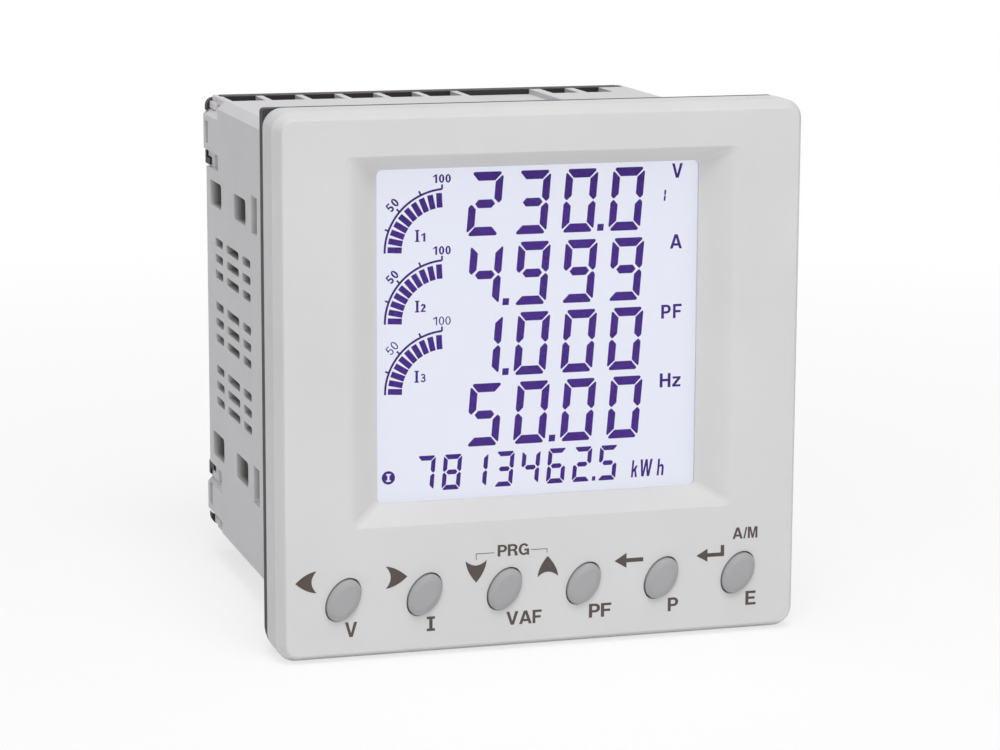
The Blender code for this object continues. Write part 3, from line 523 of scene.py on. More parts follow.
def makeBezel():
    half, rear, soft = bezel["half"], bezel["rear"], bezel["rearSoft"]
    piece = openPlate("frontBezel", (0, rear, 0), half - soft, half - soft, bezel["corner"] - soft, 8)
    pullThrough((0, 0), (rear, half - soft, half - soft), ((rear - soft, half, half),))
    stepIn((rear - soft, 0.0), bezel["outside"])
    closeUp(piece)

    hollow = openPlate("hollowTool", (0, 1, 0), bezel["inside"], bezel["inside"], bezel["insideCorner"], 6)
    pull(1 - bezel["wallRear"])
    carve(piece, closeUp(hollow))

    middle, rear, side = recess["middle"], bezel["panRear"], bezel["panSide"]
    pan = openPlate("recessPan", (0, rear, middle), side, side, bezel["panCorner"], 4)
    pullThrough((0, middle), (rear, side, side), ((recess["depth"], side, side), bezel["panFront"]))
    carve(piece, closeUp(pan), "UNION")
    for side in (-1, 1):
        for z in snap["heights"]:
            carve(piece, snapArm(side, z), "UNION")
        for x, z in bezel["bossPlaces"]:
            boss = openOval("screwBoss", (side * x, bezel["bossRear"], z), bezel["boss"], bezel["boss"], 24)
            pull(bezel["bossLong"])
            carve(piece, closeUp(boss), "UNION")
    carve(piece, recessTool())
    for x in keyXs:
        carve(piece, keyHoleTool(x))
    soften(piece, 0, bezel["smoothTo"])
    hand(piece, "meter", "housing_plastic", ["front_bezel"])


makeBezel()
print("bezel modelled")


# keys

key = {  # edge as (depth, inset), dome as (depth, share of the edge's end), flange as (depth, how much wider)
    "short": 2.62, "long": 3.94, "sideFront": -10.2,
    "edge": ((-10.60, 0.0), (-10.67, 0.02), (-10.72, 0.07), (-11.09, 0.86), (-11.125, 0.97), (-11.14, 1.10)),
    "dome": ((-11.16, 0.84), (-11.175, 0.66), (-11.185, 0.46), (-11.19, 0.26)),
    "flange": ((-6.7, 0.95), (-7.4, 1.0), (-7.5, 0.9), (-7.5, 0.0)),
    "stem": 1.2, "stemRear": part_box("key_volts")[1].y / mm - panelY / mm, "smoothTo": 42,
}


def makeKeys():
    short, long, stem, rear = key["short"], key["long"], key["stem"], key["stemRear"]
    first = openOval("keyCap", (0, rear, 0), stem, stem, 48)
    stations = [(key["flange"][0][0], stem, stem)]
    stations += [(depth, short + wider, long + wider) for depth, wider in key["flange"]]
    stations += [(key["sideFront"], short, long)]
    pullThrough((0, 0), (rear, stem, stem), stations)
    stepIn((key["sideFront"], 0.0), key["edge"])
    depth, inset = key["edge"][-1]
    wide, high = short - inset, long - inset
    stations = [(rise, wide * share, high * share) for rise, share in key["dome"]]
    pullThrough((0, 0), (depth, wide, high), stations)
    closeUp(first)
    turnKey(first, 0)
    soften(first, 0, key["smoothTo"])
    for x, name in zip(keyXs, ("volts", "amps", "vaf", "factor", "power", "energy")):
        cap = ownCopy(first, "keyCap_" + name, (x, 0, 0))
        hand(cap, name + "_button", "key_plastic", ["key_" + name])
    bpy.data.objects.remove(first, do_unlink=True)


makeKeys()
print("keys modelled")


# case, gasket and rear parts

rearCorner = {  # x, depth and height at the right upper corner: seats on the case, rooms in the cover
    "notchSeat": ((41.0, 42.35), (69.0, 75.95), (31.15, 32.6)),
    "notchStep": ((41.0, 42.35), (69.0, 71.65), (29.2, 31.25)),
    "notchRoom": ((41.0, 42.4), (74.0, 76.0), (30.95, 32.6)),
    "lobeSeat": ((41.0, 42.1), (69.5, 75.95), (40.5, 41.8)),
    "lobeRoom": ((40.9, 42.15), (74.0, 76.0), (40.8, 41.85)),
}


def inCorners(piece, spans, way):  # the same block, mirrored to each of the four rear corners
    across, depth, height = spans
    for side in (-1, 1):
        for row in (-1, 1):
            x = sorted(side * value for value in across)
            z = sorted(row * value for value in height)
            carve(piece, block("cornerBlock", x, depth, z), way)


def dress(node, name, slot, width, added=(), cut=()):  # the CAD's shape with its edges rounded
    piece = tidyCopy(node, name)
    for part in added:
        inCorners(piece, rearCorner[part], "UNION")
    for part in cut:
        inCorners(piece, rearCorner[part], "DIFFERENCE")
    soften(piece, width)
    hand(piece, "meter", slot, [node])


gasket = {
    "lipHalf": 47.97, "lipInside": 46.4, "lipFront": -0.45, "lipRear": 0.6, "corner": 3.57, "trimHalf": 54,
    "trimDepth": 6, "edge": 0.2,
}


def makeGasket():  # the flat gasket with a lip that seats against the bezel's rim
    piece = tidyCopy("panel_gasket", "panelGasket")
    half, inside, rear = gasket["lipHalf"], gasket["lipInside"], gasket["lipRear"]
    lip = openPlate("gasketLip", (0, rear, 0), half, half, gasket["corner"], 8)
    pull(rear - gasket["lipFront"])
    closeUp(lip)
    hole = openPlate("lipHole", (0, rear + 1, 0), inside, inside, gasket["corner"] - half + inside, 8)
    pull(rear + 2 - gasket["lipFront"])
    carve(lip, closeUp(hole))
    carve(piece, lip, "UNION")
    reach, depth = gasket["trimHalf"], gasket["trimDepth"]
    middle = half - reach
    trim = openPlate("gasketTrim", (middle, depth, middle), reach, reach, gasket["corner"], 8)
    pull(2 * depth)
    carve(piece, closeUp(trim), "INTERSECT")  # rounds the upper right corner
    soften(piece, gasket["edge"])
    hand(piece, "meter", "gasket_rubber", ["panel_gasket"])


dress("case_body", "caseShell", "case_plastic", 0.16, added=("notchSeat", "notchStep", "lobeSeat"))
makeGasket()
dress("rear_cover", "rearCover", "dark_plastic", 0.2, cut=("notchRoom", "lobeRoom"))
dress("terminal_block_upper", "terminalBlock_upper", "dark_plastic", 0.2)
dress("terminal_block_lower", "terminalBlock_lower", "dark_plastic", 0.2)
print("case dressed")


# clamp screws of the terminals

screw = {
    "shank": 1.2, "washer": 2.3, "washerDepth": (66.5, 67.7), "head": 2.0, "headThick": 2.0, "headEdge": 0.35,
    "soft": 0.15, "softDepth": 0.1, "slot": 0.35, "slotReach": 1.35, "slotDeep": 0.9, "smoothTo": 35,
}


def makeScrews():
    low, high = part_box("terminal_upper_1")
    front, rear = (low.y - panelY) / mm, (high.y - panelY) / mm
    seat = rear - screw["headThick"]
    shank, washer, head = screw["shank"], screw["washer"], screw["head"]
    edge, soft = screw["headEdge"], screw["soft"]
    washerFront, washerRear = screw["washerDepth"]
    profile = (  # (depth, radius) from the head's rear to the shank's front
        (rear - screw["softDepth"], head - soft), (rear - edge, head), (seat, head), (seat, shank),
        (washerRear, shank), (washerRear, washer - soft), (washerRear - soft, washer),
        (washerFront + soft, washer), (washerFront, washer - soft), (washerFront, shank), (front, shank),
    )
    first = openOval("clampScrew", (0, rear, 0), head - edge, head - edge, 24)
    stations = [(depth, radius, radius) for depth, radius in profile]
    pullThrough((0, 0), (rear, head - edge, head - edge), stations)
    closeUp(first)
    reach, slot = screw["slotReach"], screw["slot"]
    for wide, high in ((reach, slot), (slot, reach)):
        carve(first, block("crossTool", (-wide, wide), (rear - screw["slotDeep"], rear + 1), (-high, high)))
    soften(first, 0, screw["smoothTo"])
    for row in ("upper", "lower"):
        for number in range(1, 9):
            node = f"terminal_{row}_{number}"
            boxLow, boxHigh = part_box(node)
            place = Vector(((boxLow.x + boxHigh.x) / 2, 0, (boxLow.z + boxHigh.z) / 2 - middleZ)) / mm
            piece = ownCopy(first, f"clampScrew_{row}_{number}", place)
            hand(piece, "meter", "terminal_steel", [node])
    bpy.data.objects.remove(first, do_unlink=True)


makeScrews()
print("terminals modelled")


# outlines of the printed marks

def curved(first, middle, last, steps=8):  # points of a curve through three points
    found = []
    for step in range(steps + 1):
        share = step / steps
        x = first[0] * (1 - share) ** 2 + 2 * middle[0] * share * (1 - share) + last[0] * share**2
        z = first[1] * (1 - share) ** 2 + 2 * middle[1] * share * (1 - share) + last[1] * share**2
        found.append((x, z))
    return found


def arrowHead(tip, backs, hollow, bulge=0.8):  # a head with a hollow back and sides that swell a little
    first, second = Vector(backs[0]), Vector(backs[1])
    point = Vector(tip)
    middle = (first + second) / 2
    sideways = (first - second).normalized() * bulge
    back = Vector(hollow) * 2 - middle
    outline = curved(point, (point + first) / 2 + sideways, first)
    outline += curved(first, back, second)[1:]
    outline += curved(second, (point + second) / 2 - sideways, point)[1:-1]
    return outline


def bar(left, right, bottom, top):
    return [(left, bottom), (right, bottom), (right, top), (left, top)]


def bend(x, z, wide, high, first, last, steps=12):  # points round an ellipse, between two angles
    found = []
    for step in range(steps + 1):
        angle = math.radians(first + (last - first) * step / steps)
        found.append((x + wide * math.cos(angle), z + high * math.sin(angle)))
    return found


def mirrored(shape, middle):
    return [(2 * middle - x, z) for x, z in reversed(shape)]


halfA = [
    (0, 0), (0.22, 0), (0.29, 0.2), (0.475, 0.2), (0.475, 0.37), (0.35, 0.37), (0.475, 0.76), (0.475, 1),
    (0.35, 1),
]
boldMarks = {  # plain bold letters, one unit high: width, then the outlines
    "V": (0.90, [[(0, 1), (0.23, 1), (0.45, 0.27), (0.67, 1), (0.90, 1), (0.57, 0), (0.33, 0)]]),
    "A": (0.95, [halfA, mirrored(halfA, 0.475)]),
    "F": (0.68, [[(0, 0), (0.21, 0), (0.21, 0.40), (0.61, 0.40), (0.61, 0.57), (0.21, 0.57), (0.21, 0.825),
                  (0.68, 0.825), (0.68, 1), (0, 1)]]),
    "E": (0.71, [[(0, 0), (0.71, 0), (0.71, 0.175), (0.21, 0.175), (0.21, 0.415), (0.64, 0.415),
                  (0.64, 0.585), (0.21, 0.585), (0.21, 0.825), (0.70, 0.825), (0.70, 1), (0, 1)]]),
    "H": (0.76, [[(0, 0), (0.2, 0), (0.2, 0.42), (0.56, 0.42), (0.56, 0), (0.76, 0), (0.76, 1), (0.56, 1),
                  (0.56, 0.6), (0.2, 0.6), (0.2, 1), (0, 1)]]),
    "z": (0.56, [[(0, 0), (0.56, 0), (0.56, 0.15), (0.23, 0.15), (0.56, 0.58), (0.56, 0.72), (0.02, 0.72),
                  (0.02, 0.57), (0.33, 0.57), (0, 0.15)]]),
    "P": (0.73, [bar(0, 0.21, 0, 1), [(0.21, 1)] + bend(0.42, 0.68, 0.31, 0.32, 90, -90)
                 + [(0.21, 0.36), (0.21, 0.53)] + bend(0.40, 0.68, 0.12, 0.15, -90, 90) + [(0.21, 0.83)]]),
    "R": (0.78, [bar(0, 0.21, 0, 1), [(0.21, 1)] + bend(0.45, 0.71, 0.30, 0.29, 90, -90)
                 + [(0.21, 0.42), (0.21, 0.57)] + bend(0.42, 0.70, 0.12, 0.13, -90, 90) + [(0.21, 0.83)],
                 [(0.40, 0.42), (0.60, 0.46), (0.72, 0.34), (0.78, 0), (0.54, 0), (0.50, 0.30)]]),
    "G": (0.82, [bend(0.42, 0.5, 0.42, 0.51, 36, 312, 28) + bend(0.42, 0.5, 0.21, 0.34, 312, 36, 28),
                 [(0.44, 0.37), (0.44, 0.54), (0.82, 0.54), (0.82, 0), (0.68, 0), (0.63, 0.16),
                  (0.63, 0.37)]]),
    "M": (0.90, [[(0, 0), (0.19, 0), (0.19, 0.74), (0.37, 0), (0.53, 0), (0.71, 0.74), (0.71, 0), (0.90, 0),
                  (0.90, 1), (0.62, 1), (0.45, 0.32), (0.28, 1), (0, 1)]]),
    "/": (0.36, [[(0, 0), (0.15, 0), (0.36, 1), (0.21, 1)]]),
    "k": (0.42, [bar(0, 0.135, 0, 1), [(0.135, 0.26), (0.21, 0.36), (0.275, 0), (0.42, 0), (0.31, 0.46),
                 (0.41, 0.68), (0.265, 0.68), (0.135, 0.46)]]),
    "W": (0.76, [[(0, 1), (0.145, 1), (0.215, 0.30), (0.31, 1), (0.45, 1), (0.545, 0.30), (0.615, 1),
                  (0.76, 1), (0.63, 0), (0.475, 0), (0.38, 0.62), (0.285, 0), (0.13, 0)]]),
    "h": (0.45, [bar(0, 0.14, 0, 1), [(0.31, 0), (0.45, 0)] + bend(0.27, 0.47, 0.18, 0.21, 0, 135, 8)
                 + [(0.14, 0.57), (0.14, 0.45)] + bend(0.235, 0.45, 0.075, 0.10, 135, 0, 6)]),
}


def boldWord(text, low, wide, high, gap=0.06):  # outlines of a word from its lower left corner and its size
    total = sum(boldMarks[mark][0] for mark in text) + gap * (len(text) - 1)
    found, along = [], 0.0
    for mark in text:
        own, outlines = boldMarks[mark]
        for outline in outlines:
            found.append([(low[0] + (along + x) * wide / total, low[1] + z * high) for x, z in outline])
        along += own + gap
    return found


# display

display = {  # rows as (figures, top, the figure before the dot), edges as the right ends of the figures
    "plane": -3.93, "thick": 0.02, "slant": 0.083, "wide": 5.93, "high": 11.22,
    "rows": (("2300", 36.30, 2), ("4999", 23.78, 0), ("1000", 11.30, 0), ("5000", -1.12, 1)),
    "edges": (-6.82, 1.84, 10.51, 19.18),
    "dot": (0.70, 1.87, 0.1, 1.32),
    "smallShare": 0.567,
    "smallRow": ("78134625", -13.52),
    "smallEdges": [-18.66 + 4.82 * index for index in range(8)],
    "smallDot": (10.69, 11.31, 0.04, 0.84),
    "smallBars": ((23.58, 23.90, 30.1, 31.0), (23.65, 23.97, 31.15, 32.05)),
}
segmentsOf = {
    "0": "abcdef", "1": "bc", "2": "abged", "3": "abgcd", "4": "fgbc",
    "5": "afgcd", "6": "afgcde", "7": "abc", "8": "abcdefg", "9": "abfgcd",
}


def flatShapes(name, outlines, depth, thick):  # thin closed plates, each from one outline of (x, height)
    points, faces = [], []
    for outline in outlines:
        faces.append(list(range(len(points), len(points) + len(outline))))
        points += [at(x, depth, z) for x, z in outline]
    mesh = bpy.data.meshes.new(name)
    mesh.from_pydata(points, [], faces)
    piece = bpy.data.objects.new(name, mesh)
    join(piece)
    takeUp(piece)
    openUp()
    bpy.ops.mesh.normals_make_consistent(inside=False)
    bpy.ops.mesh.extrude_region_move(TRANSFORM_OT_translate={"value": (0, -thick * mm, 0)})
    bpy.ops.mesh.select_all(action="SELECT")
    bpy.ops.mesh.normals_make_consistent(inside=False)
    bpy.ops.object.mode_set(mode="OBJECT")
    return piece


def showOnGlass(name, outlines, ink=segmentInk, lift=0.0):
    piece = flatShapes(name, outlines, display["plane"] - lift, display["thick"])
    hand(piece, "meter", "display_glass", finish=ink)


def segmentShapes():  # the seven bars of one upright digit, from its lower left corner
    wide, high = display["wide"], display["high"]
    middle = high / 2
    level = [
        (0.62, high), (wide - 0.62, high), (wide - 0.42, high - 0.16), (wide - 0.42, high - 0.42),
        (wide - 1.45, high - 1.57), (1.45, high - 1.57), (0.42, high - 0.42), (0.42, high - 0.16),
    ]
    upright = [
        (wide, high - 0.82), (wide - 0.22, high - 0.67), (wide - 1.37, high - 1.78),
        (wide - 1.37, middle + 0.92), (wide - 0.62, middle + 0.15), (wide - 0.40, middle + 0.15),
        (wide, middle + 0.62),
    ]
    centre = [
        (1.15, middle), (1.76, middle + 0.75), (wide - 1.76, middle + 0.75), (wide - 1.15, middle),
        (wide - 1.76, middle - 0.75), (1.76, middle - 0.75),
    ]

    def acrossFlip(shape):
        return [(wide - x, z) for x, z in shape]

    def downFlip(shape):
        return [(x, high - z) for x, z in shape]

    return {
        "a": level, "d": downFlip(level), "g": centre, "b": upright, "f": acrossFlip(upright),
        "c": downFlip(upright), "e": acrossFlip(downFlip(upright)),
    }


def digitOutlines(mark, right, bottom, share=1.0):  # the digit leans to the right from its foot
    shapes = segmentShapes()
    left, slant = right - display["wide"] * share, display["slant"]
    found = []
    for letter in segmentsOf[mark]:
        found.append([(left + (x + z * slant) * share, bottom + z * share) for x, z in shapes[letter]])
    return found


def leaningBar(left, right, low, high):
    lean = (high - low) * display["slant"]
    return [(left, low), (right, low), (right + lean, high), (left + lean, high)]


def makeDigits():
    outlines = []
    for text, top, before in display["rows"]:
        bottom = top - display["high"]
        for mark, edge in zip(text, display["edges"]):
            outlines += digitOutlines(mark, edge, bottom)
        left, right, low, high = display["dot"]
        edge = display["edges"][before]
        outlines.append(leaningBar(edge + left, edge + right, bottom + low, bottom + high))
    text, top = display["smallRow"]
    bottom = top - display["high"] * display["smallShare"]
    for mark, edge in zip(text, display["smallEdges"]):
        outlines += digitOutlines(mark, edge, bottom, display["smallShare"])
    left, right, low, high = display["smallDot"]
    outlines.append(leaningBar(left, right, bottom + low, bottom + high))
    outlines += [leaningBar(*spot) for spot in display["smallBars"]]
    showOnGlass("displayDigits", outlines)


gauge = {  # three quarter dials, each with an arc, its ticks and a fan of bars
    "middleX": -16.17, "middlesZ": (22.78, 10.30, -2.17),
    "arc": (11.2, 10.78), "arcThick": 0.38, "arcEnds": (94.9, 180.8),
    "bars": 10, "fan": (-0.22, 0.13, 9.2, 8.73), "firstTurns": (178.6, 176.6), "turnSteps": (-9.02, -9.25),
    "barLong": 2.55, "barThick": 1.05,
    "ticks": (((-0.92, 10.7), (-0.92, 11.55)), ((-4.70, 9.72), (-5.06, 10.50)),
              ((-8.42, 6.86), (-9.06, 7.50)), ((-10.44, 3.70), (-11.16, 4.00))),
    "tickThick": 0.33,
}


def strokeBar(first, last, thick):  # a straight bar between two points
    first, last = Vector(first), Vector(last)
    along = (last - first).normalized()
    across = Vector((-along.y, along.x)) * thick / 2
    return [tuple(spot) for spot in (first - across, last - across, last + across, first + across)]


def makeGauges():
    outlines = []
    wide, high = gauge["arc"]
    half = gauge["arcThick"] / 2
    begin, end = gauge["arcEnds"]
    fanX, fanZ, fanWide, fanHigh = gauge["fan"]
    turns = tuple(zip(gauge["firstTurns"], gauge["turnSteps"]))
    x, thick = gauge["middleX"], gauge["tickThick"]
    for z in gauge["middlesZ"]:
        outer = bend(x, z, wide + half, high + half, begin, end, 40)
        outlines.append(outer + bend(x, z, wide - half, high - half, end, begin, 40))
        for inner, tip in gauge["ticks"]:
            outlines.append(strokeBar((x + inner[0], z + inner[1]), (x + tip[0], z + tip[1]), thick))
        for number in range(gauge["bars"]):
            place, lean = (math.radians(turn + step * number) for turn, step in turns)
            middle = Vector((x + fanX + fanWide * math.cos(place), z + fanZ + fanHigh * math.sin(place)))
            reach = Vector((math.cos(lean), math.sin(lean))) * gauge["barLong"] / 2
            outlines.append(strokeBar(middle - reach, middle + reach, gauge["barThick"]))
    showOnGlass("displayGauges", outlines)


noughtHalf = (0.33, 0.5)


def ring(stroke):  # the two halves of a nought, one unit high
    wide, high = noughtHalf
    inner, under = wide - stroke, high - stroke * 0.75
    first = bend(wide, high, wide, high, 90, -90) + bend(wide, high, inner, under, -90, 90)
    second = bend(wide, high, wide, high, 270, 90) + bend(wide, high, inner, under, 90, 270)
    return [first, second]


def smallMark(mark, stroke):  # numbers one unit high
    low, high = 0.31 - stroke, 0.31 - stroke * 0.75
    if mark == "0":
        return ring(stroke)
    if mark == "1":
        return [[(0.5 - stroke, 0), (0.5, 0), (0.5, 1), (0.34, 1), (0, 0.80), (0, 0.80 - stroke * 0.75),
                 (0.5 - stroke, 0.80)]]
    if mark == "5":
        body = bend(0.31, 0.325, 0.32, 0.325, 108, -160)
        body += bend(0.31, 0.325, low + 0.01, high + 0.015, -160, 130)
        under = 1 - stroke * 0.75
        return [[(0.58, 1), (0.58, under), (0.09 + stroke * 0.7, under), (0.20, 0.62)] + body
                + [(0.02, 0.47), (0.09, 1)]]
    if mark == "2":
        foot = [(0.27, 0.17), (0.62, 0.17), (0.62, 0), (0, 0), (0, 0.13)]
        return [bend(0.31, 0.69, 0.31, 0.31, 170, -38) + foot + bend(0.31, 0.69, low, high, -38, 170)]
    return [bend(0.30, 0.74, 0.28, 0.26, 165, -60) + bend(0.30, 0.29, 0.32, 0.29, 60, -165)
            + bend(0.30, 0.29, 0.15, 0.13, -165, 75) + [(0.20, 0.45), (0.20, 0.60)]
            + bend(0.30, 0.74, 0.12, 0.11, -75, 165)]


def placed(outlines, low, wide, high, turn=0.0):  # outlines in units, set at their lower left corner
    cos, sin = math.cos(turn), math.sin(turn)
    found = []
    for outline in outlines:
        spots = [(x * wide, z * high) for x, z in outline]
        found.append([(low[0] + x * cos - z * sin, low[1] + x * sin + z * cos) for x, z in spots])
    return found


scale = {  # the writing round each gauge: its lower left corners, sizes and how thick its strokes are
    "full": ((-18.71, 34.60), (-18.71, 22.05), (-18.71, 9.63)),
    "fullStep": (0.0, 1.05, 2.22), "fullHigh": 1.50,
    "half": (((-26.38, 30.55), (-25.54, 31.44)), ((-26.42, 18.02), (-25.62, 18.90)),
             ((-26.48, 5.50), (-25.68, 6.38))),
    "halfHigh": 1.60, "halfWide": 1.52, "halfTurn": math.radians(45.7), "strokes": (0.23, 0.23, 0.15),
    "phase": ((-21.94, 24.43, 2.10), (-21.95, 12.05, 2.07), (-22.06, -0.39, 2.13)),
    "serif": (0.0, 0.8, 0.22), "stem": (0.185, 0.615),
    "phaseSign": ((-20.82, 24.46, 1.50), (-20.92, 12.09, 1.43), (-20.97, -0.36, 1.51)),
    "signStroke": 0.26,
}
roundSign = {  # the dot beside the lower row, with its pale mark
    "x": -26.81, "z": -17.10, "radius": 1.2, "points": 32,
    "mark": ((-0.42, 0.42, -0.7, -0.45), (-0.17, 0.17, -0.45, 0.45), (-0.42, 0.42, 0.45, 0.7)),
}
units = (  # bold letters: left, bottom, width, height
    ("V", 25.06, 34.12, 2.02, 2.58), ("A", 24.88, 21.49, 2.25, 2.55), ("P", 23.41, 8.95, 1.79, 2.49),
    ("F", 25.63, 8.95, 1.60, 2.56), ("H", 23.30, -3.52, 2.04, 2.55), ("z", 25.68, -3.49, 1.56, 2.58),
)
energyUnits = (
    ("k", 18.07, -19.66, 1.12, 3.10), ("W", 19.62, -19.60, 2.30, 3.12), ("h", 22.95, -19.60, 1.22, 3.06),
)


def makeUnits():
    outlines = []
    for mark, left, bottom, wide, high in units:
        outlines += boldWord(mark, (left, bottom), wide, high)
    for mark, left, bottom, wide, high in energyUnits:
        for outline in boldWord(mark, (left, bottom), wide, high):
            outlines.append([(x + (z - bottom) * display["slant"], z) for x, z in outline])
    showOnGlass("displayUnits", outlines)

    outlines = []
    turn, wide, high = scale["halfTurn"], scale["halfWide"], scale["halfHigh"]
    halfX, halfZ = noughtHalf[0] * wide, high / 2
    backX = halfX * math.cos(turn) - halfZ * math.sin(turn)
    backZ = halfX * math.sin(turn) + halfZ * math.cos(turn)
    start, end, thick = scale["serif"]
    for row, stroke in enumerate(scale["strokes"]):
        left, bottom = scale["full"][row]
        for mark, step in zip("100", scale["fullStep"]):
            spot = (left + step, bottom)
            outlines += placed(smallMark(mark, stroke), spot, scale["fullHigh"], scale["fullHigh"])
        for mark, (x, z) in zip("50", scale["half"][row]):
            outlines += placed(smallMark(mark, stroke), (x - backX, z - backZ), wide, high, turn)
        left, bottom, top = scale["phase"][row]
        under = top - thick
        shapes = (bar(start, end, 0, thick), bar(*scale["stem"], thick, under), bar(start, end, under, top))
        outlines += [[(left + x, bottom + z) for x, z in shape] for shape in shapes]
        left, bottom, top = scale["phaseSign"][row]
        outlines += placed(smallMark("123"[row], scale["signStroke"]), (left, bottom), top, top)
    showOnGlass("displayScales", outlines)

    x, z, radius, points = (roundSign[name] for name in ("x", "z", "radius", "points"))
    showOnGlass("displayDot", [bend(x, z, radius, radius, 0, 360 - 360 / points, points - 1)])
    shapes = [bar(x + left, x + right, z + low, z + high) for left, right, low, high in roundSign["mark"]]
    showOnGlass("displayDotMark", shapes, paleInk, display["thick"])


makeDigits()
makeGauges()
makeUnits()
print("display drawn")


# print on the front

printed = {  # heads as (tip, back corners, hollow), bars as spans, words as (text, left, bottom, wide, high)
    "plane": -9.99, "thick": 0.03,
    "heads": (
        ((-45.05, -33.52), ((-41.25, -31.5), (-41.25, -35.42)), (-42.15, -33.47)),
        ((-25.0, -33.52), ((-28.9, -31.48), (-28.9, -35.5)), (-28.0, -33.48)),
        ((-12.5, -35.5), ((-14.45, -31.5), (-10.58, -31.5)), (-12.5, -32.4)),
        ((0.65, -31.54), ((-1.22, -35.3), (2.61, -35.3)), (0.65, -34.4)),
    ),
    "leftArrow": [(13.1, -33.33), (15.35, -34.7), (15.35, -33.7), (18.5, -33.7), (18.5, -32.95),
                  (15.35, -32.95), (15.35, -31.95)],
    "enterArrow": [(28.55, -33.4), (30.68, -34.6), (30.68, -33.75), (33.85, -33.75), (33.85, -31.7),
                   (33.18, -31.7), (33.18, -33.05), (30.68, -33.05), (30.68, -32.2)],
    "bars": (
        (-12.56, -12.44, -31.4, -30.25), (-12.44, -9.2, -30.37, -30.25), (-2.4, 0.44, -30.26, -30.14),
        (0.44, 0.56, -30.9, -30.14), (-21.5, -20.0, -43.66, -43.2), (-21.05, -20.45, -43.2, -41.49),
        (-21.5, -20.0, -41.49, -41.03),
    ),
    "words": (
        ("PRG", -8.58, -31.06, 5.78, 2.09), ("V", -36.25, -43.7, 2.2, 2.68),
        ("VAF", -6.95, -43.62, 6.54, 2.42), ("PF", 8.40, -43.38, 4.18, 2.52), ("P", 23.26, -43.26, 1.97, 2.5),
        ("E", 38.1, -43.15, 1.97, 2.6), ("A/M", 35.42, -30.75, 4.76, 2.1),
    ),
}


def makePrint():
    symbols = [arrowHead(*head) for head in printed["heads"]]
    symbols += [printed["leftArrow"], printed["enterArrow"]]
    symbols += [bar(*spans) for spans in printed["bars"]]
    letters = []
    for text, x, z, wide, high in printed["words"]:
        letters += boldWord(text, (x, z), wide, high)
    for name, outlines in (("frontSymbols", symbols), ("frontLetters", letters)):
        piece = flatShapes(name, outlines, printed["plane"], printed["thick"])
        hand(piece, "meter", "housing_plastic", finish=panelInk)


makePrint()
print("front printed")


# the CAD nodes that stay

kept = {
    "display_window": "clear_acrylic", "lcd_glass": "display_glass", "lcd_light_guide": "light_guide",
    "lcd_frame": "light_guide", "zebra_strip_upper": "zebra_rubber", "zebra_strip_lower": "zebra_rubber",
    "display_board": "circuit_board", "measuring_board": "circuit_board", "power_board": "circuit_board",
    "board_header_front": "switch_plastic", "board_header_rear": "switch_plastic",
    "power_transformer": "transformer_steel", "smoothing_capacitor": "capacitor_sleeve",
}
for number in range(1, 7):
    kept[f"switch_body_{number}"] = "switch_plastic"
    kept[f"switch_plunger_{number}"] = "plunger_plastic"
for number in range(1, 4):
    kept[f"current_transformer_{number}"] = "potted_coil"
for node, finish in kept.items():
    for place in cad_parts[node].material_slots:
        place.material = finishes[finish]
print("inner parts finished")


# camera, floor and light

camera = {  # metres, degrees and millimetres
    "place": (-0.1628, panelY - 0.5307, 0.1517), "yaw": 16.528, "pitch": -10.664, "roll": 0.234,
    "lens": 114.376,
}


def makeCamera():
    yaw, pitch, roll = (math.radians(camera[name]) for name in ("yaw", "pitch", "roll"))
    look = Vector((math.sin(yaw) * math.cos(pitch), math.cos(yaw) * math.cos(pitch), math.sin(pitch)))
    right = Vector((math.cos(yaw), -math.sin(yaw), 0))
    up = right.cross(look)
    turnedRight = right * math.cos(roll) + up * math.sin(roll)
    turnedUp = up * math.cos(roll) - right * math.sin(roll)
    made = bpy.data.objects.new("Camera", bpy.data.cameras.new("Camera"))
    join(made)
    made.data.lens = camera["lens"]
    made.data.sensor_width = 36
    made.data.clip_start = 0.01
    turn = Matrix((turnedRight, turnedUp, -look)).transposed().to_4x4()
    made.matrix_world = Matrix.Translation(Vector(camera["place"])) @ turn
    bpy.context.scene.camera = made


studio = {  # metres and watts; from near to far the floor fades to white
    "aim": Vector((0, 0, 0.05)), "lampSize": 0.8,
    "lamps": {
        "keyLamp": ((-0.05, -0.68, 1.33), 9.1),
        "leftLamp": ((-0.68, -0.97, 0.88), 2.4),
        "fillLamp": ((-0.12, -1.37, 0.50), 2.2),
        "rightLamp": ((0.72, -0.95, 0.55), 1.0),
        "topLamp": ((-0.1, 0.1, 1.4), 3.0),
    },
    "ambient": 0.31, "floorRadius": 6, "floorHeight": -0.0002, "floorColour": (0.95, 0.95, 0.95),
    "near": 0.10, "far": 0.45, "nearWhite": 0.7,
}


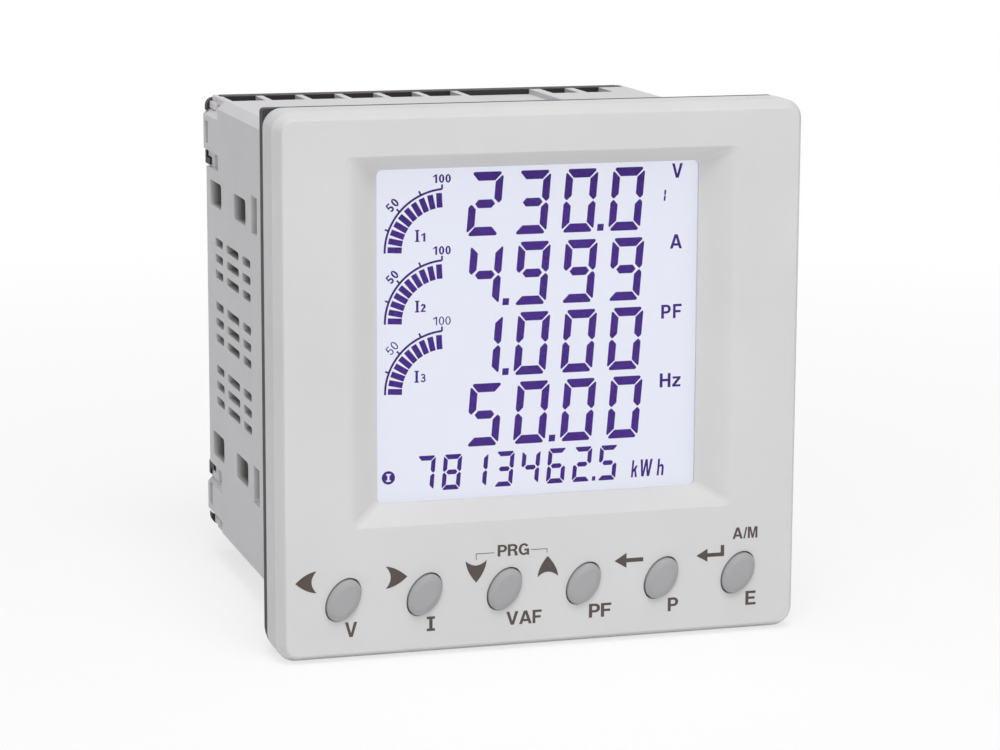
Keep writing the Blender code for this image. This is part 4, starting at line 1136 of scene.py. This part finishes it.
def makeLamps():
    for name, (place, power) in studio["lamps"].items():
        made = bpy.data.objects.new(name, bpy.data.lights.new(name, "AREA"))
        join(made)
        made.data.shape = "DISK"
        made.data.size = studio["lampSize"]
        made.data.energy = power
        made.location = place
        made.rotation_euler = (studio["aim"] - Vector(place)).to_track_quat("-Z", "Y").to_euler()


def seenRays(tree, rays):  # 1 for what the camera sees, straight or in gloss and glass
    seen = worked(tree, "MAXIMUM", rays.outputs["Is Camera Ray"], rays.outputs["Is Glossy Ray"])
    return worked(tree, "MAXIMUM", seen, rays.outputs["Is Transmission Ray"])


def makeFloor():
    freeHands()
    bpy.ops.mesh.primitive_circle_add(
        vertices=64, radius=studio["floorRadius"], fill_type="NGON", location=(0, 0, studio["floorHeight"])
    )
    floor = named("floor")
    made, tree, shader = newFinish("Floor", studio["floorColour"], 0.85, specular=0.1)
    rays = tree.nodes.new("ShaderNodeLightPath")
    white = tree.nodes.new("ShaderNodeEmission")
    blend = tree.nodes.new("ShaderNodeMixShader")
    away = tree.nodes.new("ShaderNodeVectorMath")
    away.operation = "LENGTH"
    tree.links.new(ownPlace(tree), away.inputs[0])
    share = stretched(tree, away.outputs["Value"], studio["near"], studio["far"], studio["nearWhite"])
    tree.links.new(worked(tree, "MULTIPLY", share, seenRays(tree, rays)), blend.inputs[0])
    tree.links.new(shader.outputs[0], blend.inputs[1])
    tree.links.new(white.outputs[0], blend.inputs[2])
    tree.links.new(blend.outputs[0], tree.nodes["Material Output"].inputs["Surface"])
    paint(floor, made)


def makeWorld():
    world = bpy.data.worlds.new("Studio")
    bpy.context.scene.world = world
    world.use_nodes = True
    tree = world.node_tree
    background = tree.nodes["Background"]
    background.inputs["Color"].default_value = (1, 1, 1, 1)
    seen = seenRays(tree, tree.nodes.new("ShaderNodeLightPath"))
    tree.links.new(stretched(tree, seen, 0.0, 1.0, studio["ambient"]), background.inputs["Strength"])


makeCamera()
makeFloor()
makeWorld()
makeLamps()
bpy.context.scene.view_settings.view_transform = "Standard"
print("studio set")
